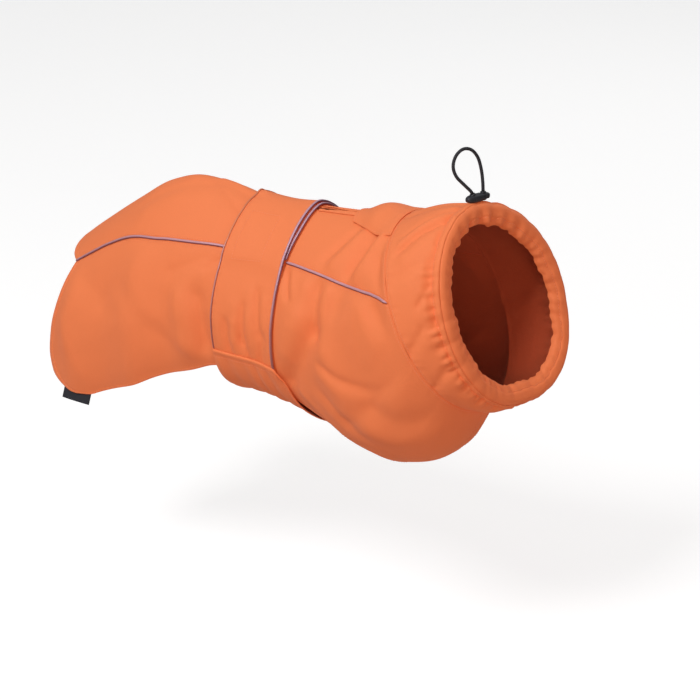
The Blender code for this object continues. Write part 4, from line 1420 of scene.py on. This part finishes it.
class COAT_OT_belt(bpy.types.Operator):
    """Makes the two wings of the belly belt"""

    bl_idname = "coat.belt"
    bl_label = "Belt wings"

    def execute(self, context):
        for hand, over in (("right", True), ("left", False)):
            station, share, lift = wing_grid(over)
            pulls = crease_sum(station, share, BELT_CREASES, shoulder=0.45)
            pulls = pulls * (1 - 0.8 * bell((np.abs(share) - WING_START) * GIRTH, 0, 5))
            pulls = pulls * ease((station - BELT_REAR) / 5) * ease((BELT_FRONT - station) / 5)
            patch = over * PATCH_RISE * ease((station + 26) / 2) * ease((10 - station) / 2)
            patch = patch * ease((share + 0.285) * GIRTH / 2) * ease((-0.085 - share) * GIRTH / 2)
            mid = body(station, share, lift + PANEL_LIFT + pulls)
            cut_and_sew("belt_" + hand, mid, ("seam", "seam", "plain", "plain"), "belt_wing_" + hand,
                        "stretched", ["back_cloth", "side_right_cloth", "side_left_cloth"], extra=patch)
        return {"FINISHED"}


class COAT_OT_collar(bpy.types.Operator):
    """Makes the gathered collar and its facing"""

    bl_idname = "coat.collar"
    bl_label = "Collar and facing"

    def execute(self, context):
        sizes, _ = settings()
        mid, extra = collar_grid()
        cut_and_sew("collar", mid, ("seam", "plain", "", ""), "collar", "gathered",
                    ["back_cloth", "side_right_cloth", "side_left_cloth"], closed=True, extra=extra)
        mid, extra = facing_grid()
        cut_and_sew("facing", mid, ("plain", "plain", "", ""), "collar_facing", "gathered",
                    ["collar_cloth"], sizes.lip * PER_METRE, closed=True, extra=extra)
        return {"FINISHED"}


class COAT_OT_flap(bpy.types.Operator):
    """Makes the lead flap and the two welts of the harness slit"""

    bl_idname = "coat.flap"
    bl_label = "Flap and slit welts"

    def execute(self, context):
        _, colours = settings()
        cut_and_sew("flap", flap_grid(), ("plain", "seam", "plain", "plain"), "lead_flap", "draped",
                    ["collar_cloth", "back_cloth"])
        station = np.linspace(WELT_FROM, WELT_TO, 34)[:, None]
        welts, mids = [], []
        for side, hand in ((-1, "right"), (1, "left")):
            lips = slit_half(station) - 0.4 + 0.35 * uneven_wave(station, 11.0, 0.7 + side)
            places = spread(np.linspace(0, 1, 7), 5, EDGE_MM, EDGE_MM)
            across = lips + (WELT_BREADTH - lips) * places[None]
            rise = 2.3 + 0.5 * bell(across, lips, 1.2)
            mid = body(station + 0 * across, SLIT_SHIFT + side * across / GIRTH, rise)[:, ::side]
            welt, OUTSIDES["welt_" + hand] = cloth("welt_" + hand, mid, ("plain",) * 4, WELT_THICK)
            welts.append(welt)
            mids.append(mid)
        both = merge(*welts, "slit_welts")
        finish_piece(both, cloth_material(colours), "softshell_cloth", "slit_welt_right", "slit_welt_left")
        declare_cloth(np.concatenate(mids, axis=1))
        return {"FINISHED"}


def piping_cloth_mix(name, share):
    """How far the piping's colour is mixed towards the cloth's: most on the belt's rear edge over the back,
    least in front.
    """
    if name == "wing_piping_right_rear":
        return 0.45 + 0.45 * ease((share + 0.27) / 0.06)
    if name.startswith("wing"):
        return 0.04 + 0.36 * ease((np.abs(share) - 0.25) / 0.3)
    return 0.22 + 0 * share


class COAT_OT_piping(bpy.types.Operator):
    """Makes the reflective pipings of the side seams and of the belt's edges"""

    bl_idname = "coat.piping"
    bl_label = "Pipings"

    def execute(self, context):
        sizes, colours = settings()
        width, height = sizes.piping * PER_METRE, sizes.piping_height * PER_METRE
        rows = []
        for side, hand in ((-1, "right"), (1, "left")):
            for part, rear, front in SEAM_PIPINGS:
                station = np.linspace(rear, front, int(abs(front - rear) / 1.6))
                share = side * side_seam(station)
                rows.append((f"{part}_piping_{hand}", station, share, SEAM_PIPING_LIFT))
        upper, lower = np.linspace(-WING_START, OVER_END, 160), np.linspace(UNDER_END, WING_START, 150)
        for edge, station, share in (("right_rear", BELT_REAR + 0.6, upper),
                                     ("right_front", BELT_FRONT - 0.6, upper),
                                     ("left_front", under_front(lower) - 0.6, lower),
                                     ("left_rear", UNDER_REAR + 0.6, np.linspace(0.29, WING_START, 60))):
            lift = wing_lift(share, share is upper) + WING_PIPING_LIFT
            rows.append(("wing_piping_" + edge, station, share, lift))
        for name, station, share, lift in rows:
            path, out = piping_path(station, share, lift)
            thin = 0.62 if name == "wing_piping_right_rear" else 1.0
            vertices, quads, caps, uv = tube(path, out, width * thin, height * thin, PIPING_SIDES, 2.0)
            ring = unit(vertices[:-2].reshape(len(path), PIPING_SIDES, 3) - path[:, None])
            # Painted shade: 1 on the side of the cord that faces down and towards the neck, away from the
            # light above, 0 on its top.
            painted_underside_shade = ease((ring @ np.array((0.45, 0, -0.9)) + 0.30) / 0.45).ravel()
            cloth_mix = np.repeat(piping_cloth_mix(name, share), PIPING_SIDES)
            marks = {"painted_underside_shade": np.append(painted_underside_shade, (0, 0)), "cloth_mix": np.append(cloth_mix, (0, 0))}
            thing = make_mesh(name + "_cord", vertices, quads, uv, marks, caps)
            finish_piece(thing, piping_material(colours), "reflective_piping", name)
        return {"FINISHED"}


def sewn_line(piece, edge, mm, from_start, from_end):
    """A line on a piece's outside beside one of its edges, and the outside that it lies on."""
    outside = OUTSIDES[piece]
    beside = near_row if "row" in edge else near_edge
    line = beside(outside, mm, edge.startswith("first"))
    if edge.endswith("round"):
        return np.concatenate([line, line[:1]]), np.concatenate([outside, outside[:, :2]], axis=1)
    return line[from_start:len(line) - from_end], outside


def patch_lines():
    """The sewn outline of the closing patch on the upper wing, one line for each side."""
    lines = []
    for (rear, start), (front, end) in zip(PATCH_CORNERS, PATCH_CORNERS[1:]):
        t = np.linspace(0, 1, 30)
        share = start + (end - start) * t
        line = body(rear + (front - rear) * t, share, wing_lift(share, True) + 1.6)
        lines.append((line, OUTSIDES["belt_right"]))
    return lines


class COAT_OT_stitching(bpy.types.Operator):
    """Makes the rows of stitches along hems, seams, rim, flap and patch"""

    bl_idname = "coat.stitching"
    bl_label = "Stitching"

    def execute(self, context):
        sizes, colours = settings()
        groups = {"hems": [], "seams": [], "belt": [], "neck": []}
        for group, *line in SEWN_LINES:
            groups[group].append(sewn_line(*line))
        groups["belt"] += patch_lines()
        material = yarn_material("sewing_thread", colours.thread, 0.0006, 2.0, 0.15, 0.55)
        for group, lines in groups.items():
            vertices, quads, caps, uv = join([stitches(line, surface, sizes) for line, surface in lines])
            thing = make_mesh("stitching_" + group, vertices, quads, uv, None, caps)
            finish_piece(thing, material, "softshell_cloth")
        return {"FINISHED"}


class COAT_OT_label(bpy.types.Operator):
    """Makes the bare folded label that hangs from the rear hem"""

    bl_idname = "coat.label"
    bl_label = "Rear label"

    def execute(self, context):
        _, colours = settings()
        t = np.linspace(0, 1, 24)
        down = np.array([13 / 14, 1.0])
        station = smooth(SIDE_EDGE, down)[:, 0]
        top, bottom = side_seam(station), hem_share(station)
        start, end = body(station, -(top + (bottom - top) * down), PANEL_LIFT)
        edge = start + (end - start) * t[:, None]
        drop = np.array((-2.5, -2.0, -12.5))
        fall = spread(np.linspace(0, 1, 14), 13, EDGE_MM, EDGE_MM)
        bow = 0.8 * np.sin(math.pi * t)[:, None] * fall[None]
        way = unit(np.cross(drop, end - start))
        mid = edge[:, None] + drop * (-0.08 + 1.08 * fall[None, :, None]) + way * bow[..., None]
        mid = mid[:, ::-1]
        thing, _ = cloth("label_tape", mid, ("plain",) * 4, LABEL_THICK)
        material = yarn_material("woven_tape", colours.black, 0.0009, 0.0, 0.12, 0.75, 0.00004)
        finish_piece(thing, material, "label_tape", "rear_label")
        declare_cloth(mid)
        return {"FINISHED"}


class COAT_OT_lock(bpy.types.Operator):
    """Makes the cord lock and the loop of elastic cord that stands up out of it"""

    bl_idname = "coat.lock"
    bl_label = "Cord lock and cord"

    def execute(self, context):
        sizes, colours = settings()
        turn = math.radians(LOCK_TURN)
        ahead, up = np.array([math.cos(turn), math.sin(turn), 0]), np.array([0, 0, 1])
        aside = np.array([-ahead[1], ahead[0], 0])
        middle = np.array(LOCK_MIDDLE)
        path, length = cord_line(60)
        parts = [lump(middle + ahead * along, size, power, LOCK_TURN, steps)
                 for along, size, power, steps in (LOCK_BODY, LOCK_BUTTON)]
        for end, way in ((path[0], path[1] - path[0]), (path[-1], path[-2] - path[-1])):
            way = unit(way)
            sleeve = end - way * 1.6 + way * np.array([0, 0.7, 1.4])[:, None]
            parts.append(tube(sleeve, ahead, LOCK_COLLAR, LOCK_COLLAR, 20))
        angle = np.linspace(0, 2 * math.pi, 41)
        for along, size in LOCK_RIDGES:
            ridge = (middle + ahead * along + aside * np.cos(angle)[:, None] * RIDGE_HALF_WIDTH * size
                     + up * np.sin(angle)[:, None] * RIDGE_HALF_HEIGHT * size)
            parts.append(tube(ridge, np.tile(ahead, (len(angle), 1)), 0.8, 0.9, 8))
        vertices, quads, caps, uv = join(parts)
        thing = make_mesh("cord_lock_body", vertices, quads, uv, None, caps)
        finish_piece(thing, plastic_material(colours), "lock_plastic", "cord_lock")
        out = np.tile(ahead, (len(path), 1))
        thick = sizes.cord * PER_METRE
        vertices, quads, caps, uv = tube(path, out, thick, thick, 16)
        cord = make_mesh("drawcord_loop", vertices, quads, uv, None, caps)
        material = yarn_material("braided_elastic", colours.black, 0.0022, 4.0, 0.5, 0.62, 0.00018)
        finish_piece(cord, material, "elastic_cord", "drawcord")
        return {"FINISHED"}


def make_floor():
    """The floor: a wide bowl turned about the upright axis, which looks evenly pale to the camera."""
    section = np.array(FLOOR_SECTION, float)
    run = arc(section[:, None], 0)[:, 0]
    fine = smooth(np.column_stack([run, section]), np.linspace(0, run[-1], 70))
    turn = np.arange(FLOOR_SIDES) * 2 * math.pi / FLOOR_SIDES
    out, height = fine[:, None, 0], fine[:, None, 1]
    points = np.stack([out * np.cos(turn), out * np.sin(turn), height + 0 * turn], axis=-1).reshape(-1, 3)
    floor = make_mesh("floor", points, grid_faces(len(fine), FLOOR_SIDES, True), np.zeros((len(points), 2)))
    made, tree, surface = start_material("pale_floor")
    surface.inputs["Base Color"].default_value = (0.42, 0.42, 0.42, 1)
    surface.inputs["Roughness"].default_value = 0.9
    surface.inputs["Emission Color"].default_value = (1, 1, 1, 1)
    seen = tree.nodes.new("ShaderNodeLightPath")
    glow = maths(tree, "MULTIPLY", seen.outputs["Is Camera Ray"], 0.72)
    tree.links.new(glow, surface.inputs["Emission Strength"])
    floor.data.materials.append(made)
    return floor


class COAT_OT_stage(bpy.types.Operator):
    """Makes the floor, the studio lights and the camera"""

    bl_idname = "coat.stage"
    bl_label = "Stage"

    def execute(self, context):
        scene = context.scene
        make_floor()
        world = bpy.data.worlds.new("studio")
        scene.world = world
        world.use_nodes = True
        world.node_tree.nodes["Background"].inputs["Color"].default_value = (1, 1, 1, 1)
        world.node_tree.nodes["Background"].inputs["Strength"].default_value = SKY_STRENGTH
        for name, place, size, power, colour in LIGHTS:
            light = bpy.data.lights.new(name, "AREA")
            light.size = size
            light.energy = power
            light.color = colour
            lamp = bpy.data.objects.new(name, light)
            lamp.location = place
            lamp.rotation_euler = (Vector(LIGHTS_AIM) - Vector(place)).to_track_quat("-Z", "Y").to_euler()
            scene.collection.objects.link(lamp)
        camera = bpy.data.cameras.new("camera")
        camera.lens = CAMERA_LENS
        camera.sensor_width = 36
        camera.clip_end = 50
        eye = bpy.data.objects.new("camera", camera)
        level = math.cos(CAMERA_ELEVATION)
        back = Vector((math.sin(CAMERA_AZIMUTH) * level, -math.cos(CAMERA_AZIMUTH) * level,
                       math.sin(CAMERA_ELEVATION)))
        eye.location = Vector(CAMERA_TARGET) + back * CAMERA_DISTANCE
        eye.rotation_euler = (-back).to_track_quat("-Z", "Y").to_euler()
        scene.collection.objects.link(eye)
        scene.camera = eye
        scene.view_settings.view_transform = "Standard"
        return {"FINISHED"}


OPERATORS = (COAT_OT_lock, COAT_OT_back, COAT_OT_sides, COAT_OT_belly, COAT_OT_belt, COAT_OT_collar,
             COAT_OT_flap, COAT_OT_piping, COAT_OT_stitching, COAT_OT_label, COAT_OT_stage)


class COAT_PT_panel(bpy.types.Panel):
    """Lists the coat's pieces, sizes and colours"""

    bl_idname = "COAT_PT_panel"
    bl_label = "Dog raincoat"
    bl_space_type = "VIEW_3D"
    bl_region_type = "UI"
    bl_category = "Dog raincoat"

    def draw(self, context):
        for made in OPERATORS:
            self.layout.operator(made.bl_idname)
        for group in (context.scene.coat_sizes, context.scene.coat_colours):
            for name in group.__annotations__:
                self.layout.prop(group, name)


CLASSES = (CoatSizes, CoatColours, *OPERATORS, COAT_PT_panel)


def register():
    """Adds the classes and the scene's settings."""
    for made in CLASSES:
        bpy.utils.register_class(made)
    bpy.types.Scene.coat_sizes = bpy.props.PointerProperty(type=CoatSizes)
    bpy.types.Scene.coat_colours = bpy.props.PointerProperty(type=CoatColours)


def unregister():
    """Takes them away again."""
    del bpy.types.Scene.coat_sizes
    del bpy.types.Scene.coat_colours
    for made in reversed(CLASSES):
        bpy.utils.unregister_class(made)


def main():
    register()
    bpy.ops.coat.stage()
    bpy.ops.coat.lock()
    bpy.ops.coat.back()
    bpy.ops.coat.sides()
    bpy.ops.coat.belly()
    bpy.ops.coat.belt()
    bpy.ops.coat.collar()
    bpy.ops.coat.flap()
    bpy.ops.coat.piping()
    bpy.ops.coat.stitching()
    bpy.ops.coat.label()


if __name__ == "__main__":
    main()
